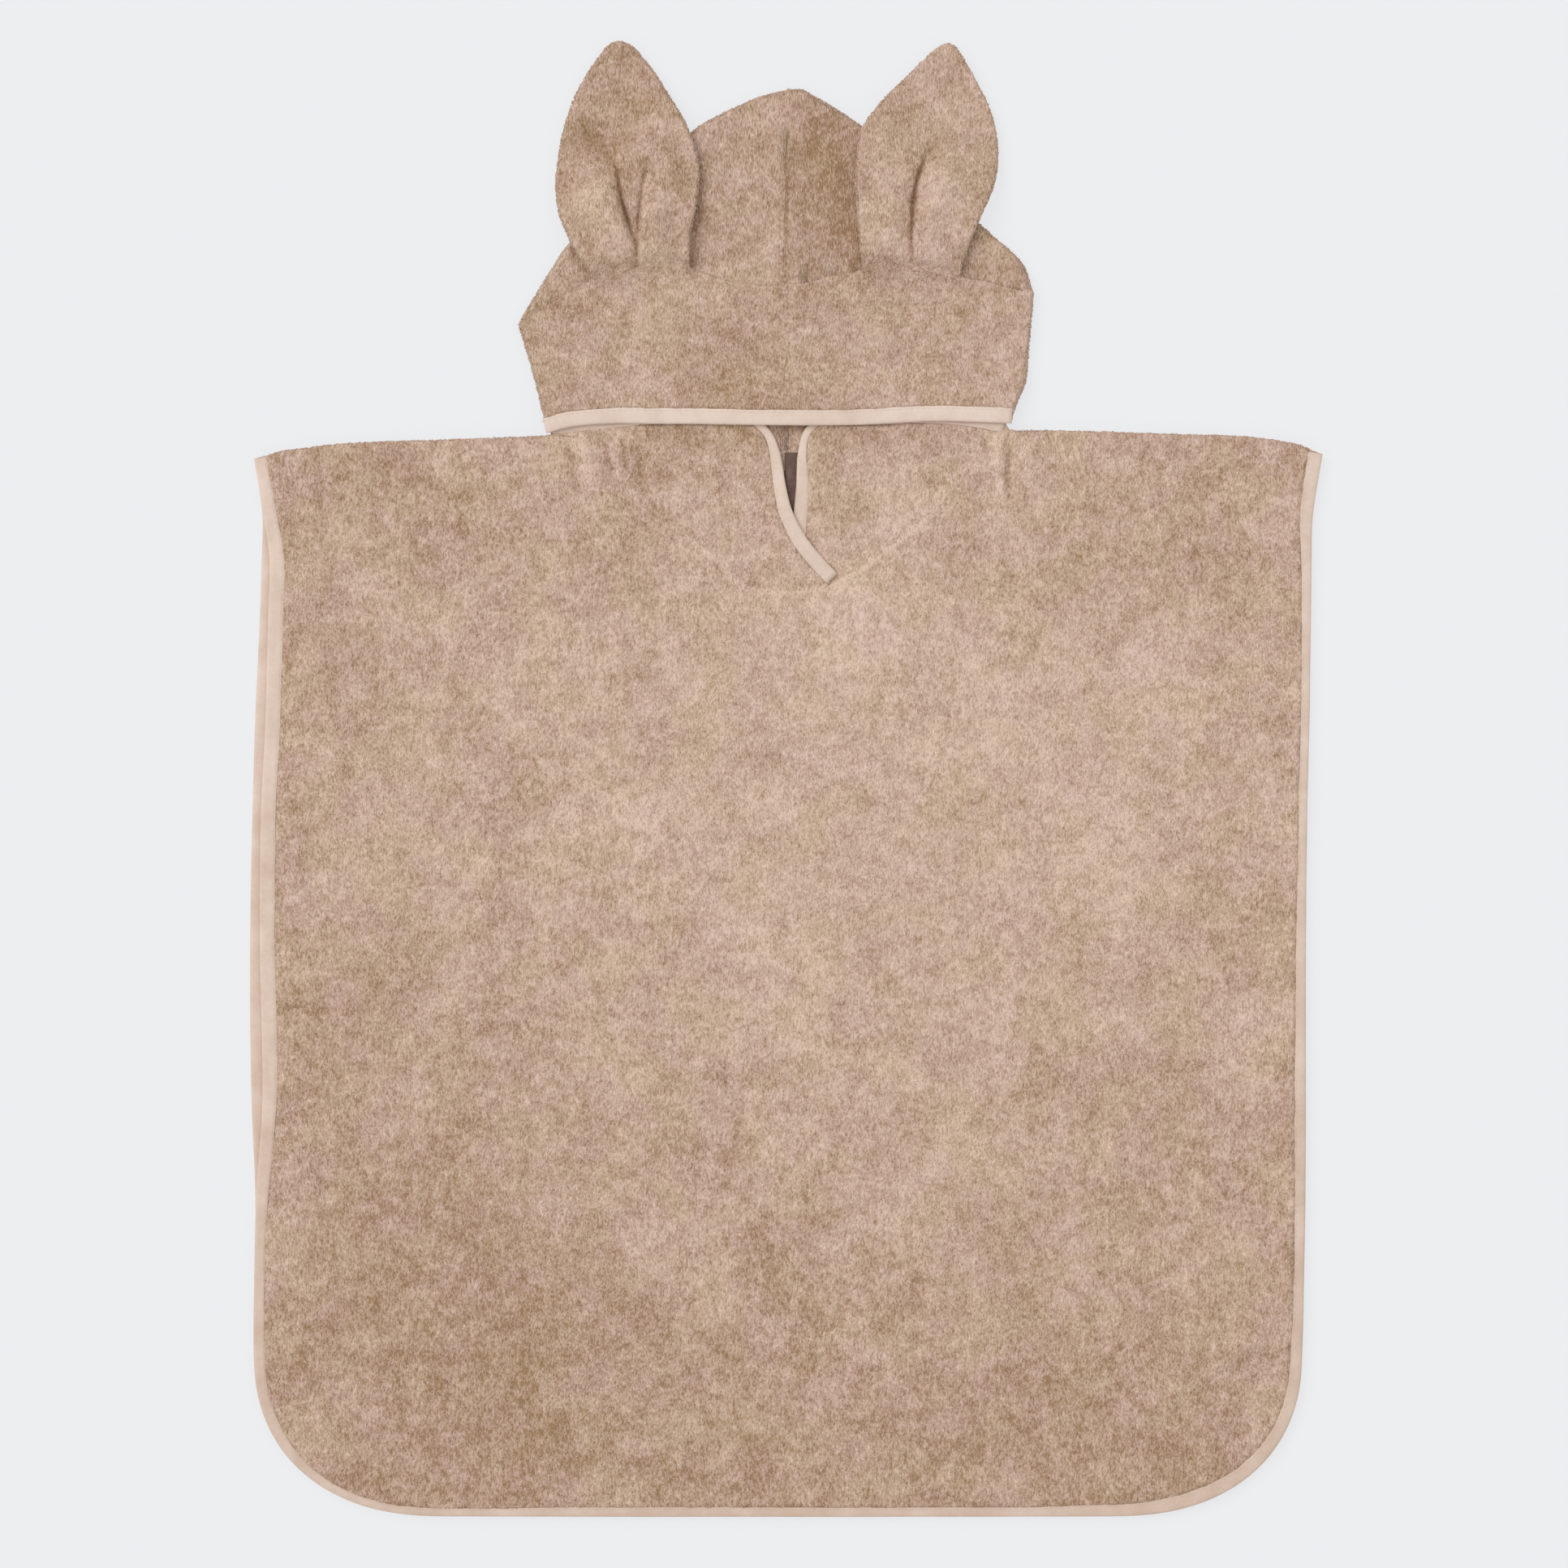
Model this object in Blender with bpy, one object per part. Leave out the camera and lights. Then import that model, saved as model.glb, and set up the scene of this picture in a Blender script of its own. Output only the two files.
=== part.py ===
"""Hooded bath poncho for a small child, laid flat on its back with the hood up.

Two towelling panels are joined at the shoulders and bound with tape round the sides and the hem. A hood
with two ears is sewn to the neck. The garment lies with its front up, so its cloth lies in levels: back
panel and nape at the bottom, front panel, throat and crown on them, forehead edge and ears on top.
The origin is on the surface that it lies on, in the middle of its outline. +X is to the right, +Y
towards the hood and +Z up. The sizes below are in millimetres, and the meshes in metres.
"""

import math
from collections import namedtuple

import bmesh
import bpy
from mathutils import Vector
from mathutils.geometry import delaunay_2d_cdt, interpolate_bezier

MM = 0.001

# Cloth and tape
TERRY = 2.8  # towelling with its pile
GAP = 0.3  # between pieces that touch
LEVEL = TERRY + GAP  # from one layer's underside to the next one's
TAPE_WIDTH = 9.0
TAPE_HALF = 1.2  # half of the folded tape's thickness over the bound edge
TAPE_SLOT_HALF = 0.7
TAPE_FOLD = 0.8  # cloth of the tape outside the edge that it binds
CRUSHED_HALF = 0.3  # half of the towelling's thickness inside the tape
SEAM_SHARE = 0.55  # share of its thickness that the towelling keeps in a seam
TAPE_NOSE = 0.5  # across the slope from the tape's fold line to its full thickness

# Distances between the points along each line, and between the facets inside each piece
LEFT_SIDE_STEP = 45.0
RIGHT_SIDE_STEP = 60.0
SHOULDER_STEP = 30.0
NECK_STEP = 13.0
NAPE_STEP = 20.0
FACE_STEP = 24.0
BAND_SEAM_STEP = 12.0
BAND_SIDE_STEP = 5.0
THROAT_STEP = 9.0
EAR_STEP = 13.0
EAR_SEAM_STEP = 8.0
CREASE_STEP = 12.0
HOOD_STEP = 6.0
HOOD_NAPE_STEP = 10.0
CORNER_STEPS = 9
BODY_FACET = 75.0
BAND_FACET = 13.0
THROAT_FACET = 15.0
EAR_FACET = 13.0
LABEL_FACET = 40.0
EDGE_OVERRUN = 20.0  # a bound edge counts as this much longer where cloth is measured from it
STEP_OVERRUN = 3.0  # the step beside a tape is cut this far past the cloth's ends

# Body
HEM_Y = -422.0
CORNER_Y = -327.0  # where the straight sides end
CORNER_WIDE = 109.0
CORNER_POWER = 2.3  # a little squarer than an ellipse
BACK_TUCK = 1.2  # the back panel's right side lies this far inside the front's
BACK_LEVEL = 0
FRONT_LEVEL = 1

Section = namedtuple("Section", "y left_front left_back right")
BODY_SECTIONS = (
    Section(150.0, -299.0, -299.9, 301.4),
    Section(125.0, -295.6, -300.3, 300.7),
    Section(93.0, -296.3, -301.3, 300.3),
    Section(34.0, -297.9, -304.0, 299.5),
    Section(-20.0, -300.4, -305.6, 298.2),
    Section(-105.0, -301.0, -307.0, 297.4),
    Section(-190.0, -299.8, -305.9, 297.4),
    Section(-236.0, -303.0, -304.0, 297.2),
    Section(CORNER_Y, -304.6, -304.0, 295.4),
)

Point = namedtuple("Point", "x y")
SHOULDER_LEFT = (
    Point(-304.3, 183.0),
    Point(-290.0, 187.0),
    Point(-255.0, 191.3),
    Point(-200.0, 193.6),
    Point(-137.0, 196.0),
    Point(-124.9, 196.5),
)
SHOULDER_RIGHT = (
    Point(127.0, 198.9),
    Point(165.0, 198.8),
    Point(225.0, 196.8),
    Point(262.0, 195.6),
    Point(292.0, 191.4),
    Point(307.0, 185.8),
)
NECK_FRONT = (
    Point(-124.9, 196.5),
    Point(-105.8, 192.5),
    Point(-78.4, 158.3),
    Point(-58.8, 136.9),
    Point(-35.1, 116.5),
    Point(-2.0, 106.6),
    Point(33.2, 112.6),
    Point(62.5, 130.4),
    Point(109.5, 164.8),
    Point(121.5, 182.0),
    Point(127.0, 198.9),
)
NECK_BACK = (
    Point(-124.9, 196.5),
    Point(-70.0, 189.6),
    Point(0.0, 187.2),
    Point(70.0, 190.2),
    Point(127.0, 198.9),
)

# Hood
BAND_SEAM = (
    Point(-153.2, 260.2),
    Point(-110.9, 285.6),
    Point(-54.6, 291.8),
    Point(-31.4, 284.6),
    Point(-2.0, 282.4),
    Point(38.8, 290.2),
    Point(98.8, 287.8),
    Point(141.6, 277.8),
)
BAND_LEFT_SIDE = (
    Point(-153.2, 260.2),
    Point(-145.0, 233.0),
    Point(-138.4, 206.5),
    Point(-136.9, 197.4),
)
BAND_RIGHT_SIDE = (
    Point(129.0, 203.0),
    Point(131.2, 213.0),
    Point(136.6, 226.0),
    Point(138.8, 246.2),
    Point(141.6, 277.8),
)
FACE_EDGE = (
    Point(-136.9, 197.4),
    Point(-122.0, 201.2),
    Point(-75.0, 202.7),
    Point(-15.0, 202.1),
    Point(43.0, 202.2),
    Point(84.0, 204.3),
    Point(129.0, 203.0),
)
CROWN_LEFT = (
    Point(-149.2, 267.2),
    Point(-133.2, 293.2),
    Point(-123.5, 308.1),
    Point(-89.0, 339.3),
    Point(-54.6, 370.4),
    Point(-31.4, 383.4),
    Point(-11.9, 391.3),
    Point(1.9, 394.6),
)
CROWN_RIGHT = (
    Point(141.4, 283.6),
    Point(139.5, 290.4),
    Point(127.2, 302.9),
    Point(111.4, 316.9),
    Point(77.2, 345.3),
    Point(43.0, 373.6),
    Point(27.2, 384.3),
    Point(13.7, 391.8),
    Point(2.3, 394.6),
)
CENTRE_SEAM_TOP = Point(2.1, 394.6)
CENTRE_SEAM_FRONT = Point(-1.2, 282.6)
CENTRE_SEAM_NAPE = Point(0.0, 187.2)
HOOD_CORNER_LEFT = Point(-145.2, 266.1)
HOOD_CORNER_RIGHT = Point(136.8, 280.6)
NAPE_END_LEFT = Point(-131.6, 196.6)
NAPE_END_RIGHT = Point(124.8, 199.2)
SIDE_BOW = 0.8  # how far the nape panels' outer edges bow out
HOOD_STATIONS = 11  # along each hood panel's crown
FRONT_RUN = (0.0, 0.35, 0.7, 1.0)  # shares of the way from the band seam to the crown's fold
FOLD_DEGREES = (36, 72, 108, 144)
NAPE_RUN = (0.0, 0.25, 0.5, 0.75, 1.0)  # shares of the way from the fold to the neck seam
SEAM_END_CLEAR = 3.0  # no point of a seam is nearer than this to its ends
NAPE_END_CLEAR = 2.0
SIDE_TURN = 2.8  # cloth of the band that turns down at the hood's sides
SIDE_OVERRUN = 5.0  # the turned sides are measured this far past their ends
TURN_BELOW_SEAM = 3.5  # the sides start to turn this far below the band seam
TURN_CLEAR_OF_TAPE = TAPE_WIDTH + 2.0
TURN_LINE_CLEAR = TAPE_WIDTH + 1.0
BAND_RAMP = (214.5, 238.0)  # where the band comes down from the throat's edge onto the nape

# Face opening: its lower edge and the two edges of the slit
THROAT_EDGE_LEFT = (
    Point(-134.4, 205.6),
    Point(-104.0, 208.9),
    Point(-76.0, 210.9),
    Point(-48.0, 211.0),
    Point(-27.0, 209.4),
    Point(-15.5, 205.4),
    Point(-7.6, 197.2),
    Point(-3.4, 186.6),
    Point(-0.7, 171.4),
    Point(3.0, 154.8),
    Point(14.4, 134.0),
    Point(29.4, 117.4),
)
THROAT_EDGE_RIGHT = (
    Point(3.1, 109.2),
    Point(3.0, 139.3),
    Point(5.8, 167.6),
    Point(6.6, 185.0),
    Point(9.6, 198.0),
    Point(17.0, 206.4),
    Point(28.6, 209.6),
    Point(55.0, 211.0),
    Point(84.0, 211.8),
    Point(108.0, 209.8),
    Point(125.6, 206.4),
)
LAP_X = (-20.0, 0.5)  # across which the left throat climbs onto the right one
LAP_Y = (176.0, 158.0)
THROAT_LEFT_SEAM = (-134.0, 33.0)  # the x at each end of the throats' neck seams
THROAT_RIGHT_SEAM = (2.0, 130.0)
THROAT_LEFT_CORNER = Point(-134.0, 197.2)
SEAM_HOLD = (18.0, 1.0)  # the throats thin between these distances from the neck seam
SLIT_FOOT_X = 16.0
SLIT_FOOT_REACH = (60.0, 25.0)  # and between these distances from the foot of the slit

# Ears: the outline's left and right edges at each height
Slice = namedtuple("Slice", "y left right")
EAR_LEFT = (
    Slice(308.0, -123.5, -55.2),
    Slice(322.5, -129.5, -52.4),
    Slice(338.0, -131.6, -50.3),
    Slice(354.0, -130.4, -50.6),
    Slice(372.0, -127.0, -56.4),
    Slice(389.0, -121.3, -66.0),
    Slice(403.0, -114.0, -74.6),
    Slice(414.5, -106.0, -83.6),
    Slice(420.0, -100.6, -89.4),
)
EAR_LEFT_TIP = Point(-95.6, 422.0)
EAR_LEFT_BASE = (-110.0, -55.6)
EAR_RIGHT = (
    Slice(305.0, 42.6, 104.4),
    Slice(322.5, 41.2, 111.6),
    Slice(341.0, 40.2, 119.2),
    Slice(356.0, 40.9, 121.1),
    Slice(371.0, 43.4, 119.8),
    Slice(385.0, 52.9, 115.6),
    Slice(401.0, 68.4, 107.7),
    Slice(412.0, 79.8, 101.4),
    Slice(418.0, 86.4, 97.6),
)
EAR_RIGHT_TIP = Point(92.6, 421.0)
EAR_RIGHT_BASE = (44.0, 98.8)
EAR_DROOP = (1.0, 38.0)  # past the crown's fold, the ear comes down to the surface in this distance
EAR_SEAM_REACH = 14.0  # from the band seam to where the ear is at its full thickness
EAR_LEFT_FOLD = (Point(-123.5, 308.1), Point(-54.6, 370.4))
EAR_RIGHT_FOLD = (Point(43.0, 373.6), Point(111.4, 316.9))

# Pleats at the ears' bases. Each stands on one side of its crease, +1 right or -1 left
Pleat = namedtuple("Pleat", "crease side height")
PLEAT_RISE = 2.0  # from the foot of a pleat to its top, across the crease
PLEAT_SPREAD = 22.0  # from its top to where it is flat again
PLEAT_FADE = 34.0  # down the crease from its end to its full height
LEFT_PLEATS = (
    Pleat((Point(-86.2, 291.0), Point(-86.2, 304.0), Point(-90.6, 317.0), Point(-105.0, 360.6)), -1, 2.6),
    Pleat((Point(-84.4, 291.0), Point(-84.4, 304.0), Point(-83.6, 319.0), Point(-77.4, 350.0)), 1, 2.6),
)
RIGHT_PLEATS = (
    Pleat((Point(71.4, 291.0), Point(70.9, 305.0), Point(71.6, 323.0), Point(90.0, 372.0)), 1, 3.4),
)

# Neck label
LABEL_LEFT = -0.7
LABEL_WIDE = 24.0
LABEL_TOP = 186.6
LABEL_LONG = 33.0
LABEL_THICK = 0.5
LABEL_LIFT = 0.9  # how far the throats stand off over the label
LABEL_REACH = 11.0
LABEL_EASE = 1.5  # the throats lie at full height this far past the label's edges


# Lines and distances -------------------------------------------------------------------------


def smooth(value, start, end):
    """0 up to start, 1 from end on, and an even curve between them."""
    t = min(1.0, max(0.0, (value - start) / (end - start)))
    return t * t * (3 - 2 * t)


def curve(points, step):
    """A smooth line through the points, with a point about every step along it."""
    points = [Vector(p) for p in points]
    chords = [(b - a).length for a, b in zip(points, points[1:])]
    slopes = [(b - a) / chord for a, b, chord in zip(points, points[1:], chords)]
    tangents = [slopes[0]]
    for before, after, slope, following in zip(chords, chords[1:], slopes, slopes[1:]):
        tangents.append(slope.lerp(following, before / (before + after)))
    tangents.append(slopes[-1])
    line = [points[0]]
    for i, chord in enumerate(chords):
        handle_a = points[i] + tangents[i] * chord / 3
        handle_b = points[i + 1] - tangents[i + 1] * chord / 3
        count = max(1, round(chord / step)) + 1
        line += interpolate_bezier(points[i], handle_a, handle_b, points[i + 1], count)[1:]
    return line


def even(line, count):
    """count + 1 points, evenly spaced along the line."""
    lengths = [0.0]
    for a, b in zip(line, line[1:]):
        lengths.append(lengths[-1] + (b - a).length)
    spaced = []
    for k in range(count + 1):
        along = lengths[-1] * k / count
        i = next(i for i in range(len(line) - 1) if lengths[i + 1] >= along - 1e-6)
        spaced.append(line[i].lerp(line[i + 1], (along - lengths[i]) / (lengths[i + 1] - lengths[i])))
    return spaced


def beside(line, distance):
    """The open line moved to its left."""
    moved = []
    for i, point in enumerate(line):
        before = (point - line[i - 1]).normalized() if i else (line[1] - point).normalized()
        after = (line[i + 1] - point).normalized() if i + 1 < len(line) else before
        left = Vector((-before.y - after.y, before.x + after.x))
        moved.append(point + left * distance / (1 + before.dot(after)))
    return moved


def stretched(line, amount):
    """The line carried straight on at both ends."""
    start = line[0] + (line[0] - line[1]).normalized() * amount
    end = line[-1] + (line[-1] - line[-2]).normalized() * amount
    return [start, *line, end]


def distance_to(point, line):
    """The distance from a point to the nearest place on an open line."""
    nearest = math.inf
    for a, b in zip(line, line[1:]):
        run = b - a
        t = min(1.0, max(0.0, (point - a).dot(run) / run.length_squared))
        nearest = min(nearest, (a + run * t - point).length)
    return nearest


def inside(point, outline):
    """True where a closed outline holds the point."""
    odd = False
    for i, a in enumerate(outline):
        b = outline[i - 1]
        if (a.y > point.y) != (b.y > point.y):
            odd ^= point.x < a.x + (b.x - a.x) * (point.y - a.y) / (b.y - a.y)
    return odd


def height_at(x, points):
    """The y of a left-to-right table line at x."""
    for a, b in zip(points, points[1:]):
        if x <= b.x:
            break
    return a.y + (b.y - a.y) * (x - a.x) / (b.x - a.x)


# Solids --------------------------------------------------------------------------------------


def finish_of(name, colour, roughness):
    material = bpy.data.materials.new(name)
    material.use_nodes = True
    shader = material.node_tree.nodes["Principled BSDF"]
    shader.inputs["Base Color"].default_value = (*colour, 1)
    shader.inputs["Roughness"].default_value = roughness
    shader.inputs["Metallic"].default_value = 0.0
    return material


def add_solid(name, points, faces, finish):
    """A node made of points in millimetres, with its faces turned out."""
    mesh = bpy.data.meshes.new(name)
    mesh.from_pydata([Vector(point) * MM for point in points], [], faces)
    shell = bmesh.new()
    shell.from_mesh(mesh)
    bmesh.ops.recalc_face_normals(shell, faces=shell.faces)
    shell.to_mesh(mesh)
    shell.free()
    mesh.materials.append(finish)
    solid = bpy.data.objects.new(name, mesh)
    bpy.context.scene.collection.objects.link(solid)
    return solid


# How a piece lies: the height of its underside, and the share of its thickness that it keeps
Lie = namedtuple("Lie", "rise share")


def flat_at(level):
    return Lie(lambda p: level * LEVEL, lambda p: 1.0)


def height(lie, point, offset):
    """The height of a place that is offset from the middle of the cloth."""
    return lie.rise(point) + lie.share(point) * (TERRY / 2 + offset)


def lattice(outline, lines, spacing):
    """Evenly spread points inside the outline, clear of it and of the lines."""
    low_x, high_x = min(p.x for p in outline), max(p.x for p in outline)
    low_y, high_y = min(p.y for p in outline), max(p.y for p in outline)
    border = [*outline, outline[0]]
    spread = []
    for row in range(1, math.ceil((high_y - low_y) / spacing)):
        for column in range(math.ceil((high_x - low_x) / spacing)):
            point = Vector((low_x + (column + 0.5 * (row % 2)) * spacing, low_y + row * spacing))
            clear = all(distance_to(point, line) > 0.5 * spacing for line in (border, *lines))
            if clear and inside(point, outline):
                spread.append(point)
    return spread


def laid_piece(name, outline, lines, lie, half, spacing, finish, turned=None):
    """A piece of cloth with this outline, seen from above.

    lines are creases and steps that its facets follow, half gives half of its thickness at a point, and
    turned is true where the cloth turns down to the surface."""
    points = [*outline]
    edges = [(i, (i + 1) % len(outline)) for i in range(len(outline))]
    for line in lines:
        first = len(points)
        points += line
        edges += [(first + i, first + i + 1) for i in range(len(line) - 1)]
    points += lattice(outline, lines, spacing)
    flat, _, facets, *_ = delaunay_2d_cdt(points, edges, [], 1, 1e-4)
    used = sorted({i for facet in facets for i in facet})
    place = {old: new for new, old in enumerate(used)}
    facets = [tuple(place[i] for i in facet) for facet in facets]
    flat = [flat[i] for i in used]
    over = [(*p, height(lie, p, half(p))) for p in flat]
    under = [(*p, 0.0 if turned and turned(p) else height(lie, p, -half(p))) for p in flat]
    sides = {(a, b) for facet in facets for a, b in zip(facet, facet[1:] + facet[:1])}
    rim = [(a, b) for a, b in sorted(sides) if (b, a) not in sides]
    count = len(flat)
    faces = facets + [tuple(count + i for i in reversed(facet)) for facet in facets]
    faces += [(b, a, count + a, count + b) for a, b in rim]
    return add_solid(name, over + under, faces, finish)


def binding(name, line, lie, finish):
    """Folded tape over an edge that runs along the line, with the cloth on its left."""
    fold, slot = TAPE_FOLD, TAPE_SLOT_HALF
    section = (
        (TAPE_WIDTH, -TAPE_HALF),
        (TAPE_NOSE, -TAPE_HALF),
        (0.0, 0.0),
        (TAPE_NOSE, TAPE_HALF),
        (TAPE_WIDTH, TAPE_HALF),
        (TAPE_WIDTH, slot),
        (fold, slot),
        (fold, -slot),
        (TAPE_WIDTH, -slot),
    )
    runs = {across: beside(line, across) for across, _ in section}
    points = []
    for i in range(len(line)):
        for across, offset in section:
            place = runs[across][i]
            points.append((*place, height(lie, place, offset)))
    size = len(section)
    faces = [tuple(range(size)), tuple(range(len(points) - 1, len(points) - size - 1, -1))]
    for ring in range(len(line) - 1):
        for k in range(size):
            here, there = ring * size + k, ring * size + (k + 1) % size
            faces.append((here, there, there + size, here + size))
    return add_solid(name, points, faces, finish)


def bound_half(line):
    """Half of the cloth's thickness, where the line is the outer edge of its tape."""
    edge = stretched(line, EDGE_OVERRUN)
    limit = TAPE_WIDTH + 1.5 * GAP
    return lambda p: CRUSHED_HALF if distance_to(p, edge) < limit else TERRY / 2


def tape_steps(line):
    """The two lines between which the cloth thickens next to its tape."""
    return [stretched(beside(line, TAPE_WIDTH + k * GAP), STEP_OVERRUN) for k in (1, 2)]


def full_half(point):
    return TERRY / 2


# Body ----------------------------------------------------------------------------------------


def corner(side_x, hem_x, quarter_up):
    """The points of a rounded lower corner, from the side down to the hem."""
    points = []
    for k in range(1, CORNER_STEPS + 1):
        angle = math.pi / 2 * k / CORNER_STEPS
        out = math.cos(angle) ** (2 / CORNER_POWER)
        down = math.sin(angle) ** (2 / CORNER_POWER)
        points.append(Vector((hem_x + (side_x - hem_x) * out, CORNER_Y - quarter_up * down)))
    return points


def body_edge(left_column, tuck):
    """The bound edge, from the left shoulder round the hem to the right shoulder."""
    left_tip, right_tip = SHOULDER_LEFT[0], SHOULDER_RIGHT[-1]
    down_left = [left_tip] + [Point(getattr(row, left_column), row.y) for row in BODY_SECTIONS]
    down_right = [right_tip] + [Point(row.right, row.y) for row in BODY_SECTIONS]
    left = curve(down_left, LEFT_SIDE_STEP)
    right = [Vector((p.x - tuck, p.y)) for p in curve(down_right, RIGHT_SIDE_STEP)]
    quarter_up = CORNER_Y - HEM_Y
    left_hem, right_hem = left[-1].x + CORNER_WIDE, right[-1].x - CORNER_WIDE
    left += corner(left[-1].x, left_hem, quarter_up)
    right += corner(right[-1].x, right_hem, quarter_up)
    return left + right[::-1]


def shoulder_lines(tuck):
    left = curve(SHOULDER_LEFT, SHOULDER_STEP)
    right = curve(SHOULDER_RIGHT, SHOULDER_STEP)
    right[-1] = Vector((right[-1].x - tuck, right[-1].y))
    return left, right


NECK_LINE = curve(NECK_FRONT, NECK_STEP)


def body_panel(name, level, left_column, tuck, neckline, finish):
    edge = body_edge(left_column, tuck)
    left, right = shoulder_lines(tuck)
    top = left[1:] + neckline[1:-1] + right[:-1]
    outline = beside(edge, TAPE_FOLD + GAP) + top[::-1]
    return laid_piece(name, outline, tape_steps(edge), flat_at(level), bound_half(edge), BODY_FACET, finish)


def body_binding(name, level, left_column, tuck, finish):
    return binding(name, body_edge(left_column, tuck), flat_at(level), finish)


# Hood ----------------------------------------------------------------------------------------


def hood_panel(name, crown, front_end, nape_end, bow, finish):
    """A side panel of the hood, one wall folded over the crown.

    Each row of the wall runs from the band seam over the fold and down to the neck seam. bow moves the
    middle of the nape's outer edge out."""
    stations = len(crown) - 1
    radius = LEVEL / 2
    reach = radius + TERRY / 2
    inward = [after - before for before, after in zip(crown, beside(crown, 1.0))]
    if inward[0].dot(nape_end[0] - crown[0]) < 0:
        inward = [-way for way in inward]
    inward[-1] = front_end[-1] - crown[-1]
    rows = []
    for k, (edge, way) in enumerate(zip(crown, inward)):
        way = way.normalized()
        axis = edge + way * reach
        row = []
        for t in FRONT_RUN:
            row.append((front_end[k].lerp(axis, t), LEVEL + TERRY / 2, Vector((0, 0, 1))))
        for degrees in FOLD_DEGREES:
            angle = math.radians(degrees)
            out = Vector((*(-way * math.sin(angle)), math.cos(angle)))
            row.append((axis + out.xy * radius, LEVEL / 2 + TERRY / 2 + out.z * radius, out))
        for t in NAPE_RUN:
            side = Vector((bow, 0)) * 4 * t * (1 - t) * (1 - k / stations) ** 2
            row.append((axis.lerp(nape_end[k], t) + side, TERRY / 2, Vector((0, 0, -1))))
        rows.append(row)
    return wall(name, rows, finish)


def wall(name, rows, finish):
    """A wall of towelling about a grid of (place, height, outward way)."""
    columns = len(rows[0])
    outer, inner = [], []
    for row in rows:
        for place, z, out in row:
            middle = Vector((*place, z))
            outer.append(middle + out * TERRY / 2)
            inner.append(middle - out * TERRY / 2)
    count = len(outer)
    faces = []
    for i in range(len(rows) - 1):
        for j in range(columns - 1):
            a, b = i * columns + j, i * columns + j + 1
            faces.append((a, b, b + columns, a + columns))
            faces.append((count + a, count + a + columns, count + b + columns, count + b))
    loop = list(range(columns))
    loop += [i * columns + columns - 1 for i in range(1, len(rows))]
    loop += [(len(rows) - 1) * columns + j for j in range(columns - 2, -1, -1)]
    loop += [i * columns for i in range(len(rows) - 2, 0, -1)]
    for a, b in zip(loop, loop[1:] + loop[:1]):
        faces.append((a, count + a, count + b, b))
    return add_solid(name, outer + inner, faces, finish)


def hood_side(name, crown_points, side, finish):
    """The left (-1) or right (+1) panel of the hood."""
    half_gap = Vector((side * GAP / 2, 0))
    crown = even(curve(crown_points, HOOD_STEP), HOOD_STATIONS)
    crown[-1] = Vector(CENTRE_SEAM_TOP) + half_gap
    corner_point = Vector(HOOD_CORNER_LEFT if side < 0 else HOOD_CORNER_RIGHT)
    centre = Vector(CENTRE_SEAM_FRONT)
    seam = [p for p in curve(BAND_SEAM, HOOD_STEP) if (p.x - centre.x) * side > SEAM_END_CLEAR]
    seam = [p for p in seam if (corner_point.x - p.x) * side > SEAM_END_CLEAR]
    seam = seam if side < 0 else seam[::-1]
    above = Vector((0, GAP / 2))
    front_line = [corner_point, *(p + above for p in seam), centre + above + half_gap]
    neck = [p for p in curve(NECK_BACK, HOOD_NAPE_STEP) if p.x * side > NAPE_END_CLEAR]
    neck = neck if side < 0 else neck[::-1]
    nape_start = Vector(NAPE_END_LEFT if side < 0 else NAPE_END_RIGHT)
    clear = Vector((0, 2 * GAP))
    nape = [p + clear for p in neck if (nape_start.x - p.x) * side > NAPE_END_CLEAR]
    nape_line = [nape_start + clear, *nape, Vector(CENTRE_SEAM_NAPE) + clear + half_gap]
    front_end, nape_end = even(front_line, HOOD_STATIONS), even(nape_line, HOOD_STATIONS)
    return hood_panel(name, crown, front_end, nape_end, side * SIDE_BOW, finish)


def band_rise(point):
    return LEVEL * (2 - smooth(point.y, *BAND_RAMP))


BAND_LIE = Lie(band_rise, lambda p: 1.0)


def hood_band(name, finish):
    face = curve(FACE_EDGE, FACE_STEP)
    seam = [p - Vector((0, GAP / 2)) for p in curve(BAND_SEAM, BAND_SEAM_STEP)]
    left, right = curve(BAND_LEFT_SIDE, BAND_SIDE_STEP), curve(BAND_RIGHT_SIDE, BAND_SIDE_STEP)
    outline = beside(face, TAPE_FOLD + GAP) + right[1:-1] + seam[::-1] + left[1:-1]
    half = bound_half(face)
    turns = [beside(line, SIDE_TURN + k * GAP) for line in (left, right) for k in (0, 1)]
    sides = (stretched(left, SIDE_OVERRUN), stretched(right, SIDE_OVERRUN))

    def turned(point):
        near_side = min(distance_to(point, line) for line in sides) < SIDE_TURN + GAP / 3
        below_seam = height_at(point.x, BAND_SEAM) - point.y > TURN_BELOW_SEAM
        return near_side and below_seam and distance_to(point, face) > TURN_CLEAR_OF_TAPE

    turn_lines = [[p for p in line if distance_to(p, face) > TURN_LINE_CLEAR] for line in turns]
    lines = tape_steps(face) + turn_lines
    return laid_piece(name, outline, lines, BAND_LIE, half, BAND_FACET, finish, turned)


# Throat --------------------------------------------------------------------------------------


def label_lift(point):
    """How far the label under them lifts the throats."""
    left, right = LABEL_LEFT, LABEL_LEFT + LABEL_WIDE
    beyond_x = max(left - point.x, point.x - right, 0.0)
    beyond_y = max(LABEL_TOP - LABEL_LONG - point.y, point.y - LABEL_TOP, 0.0)
    return LABEL_LIFT * (1 - smooth(math.hypot(beyond_x, beyond_y), LABEL_EASE, LABEL_REACH))


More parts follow.
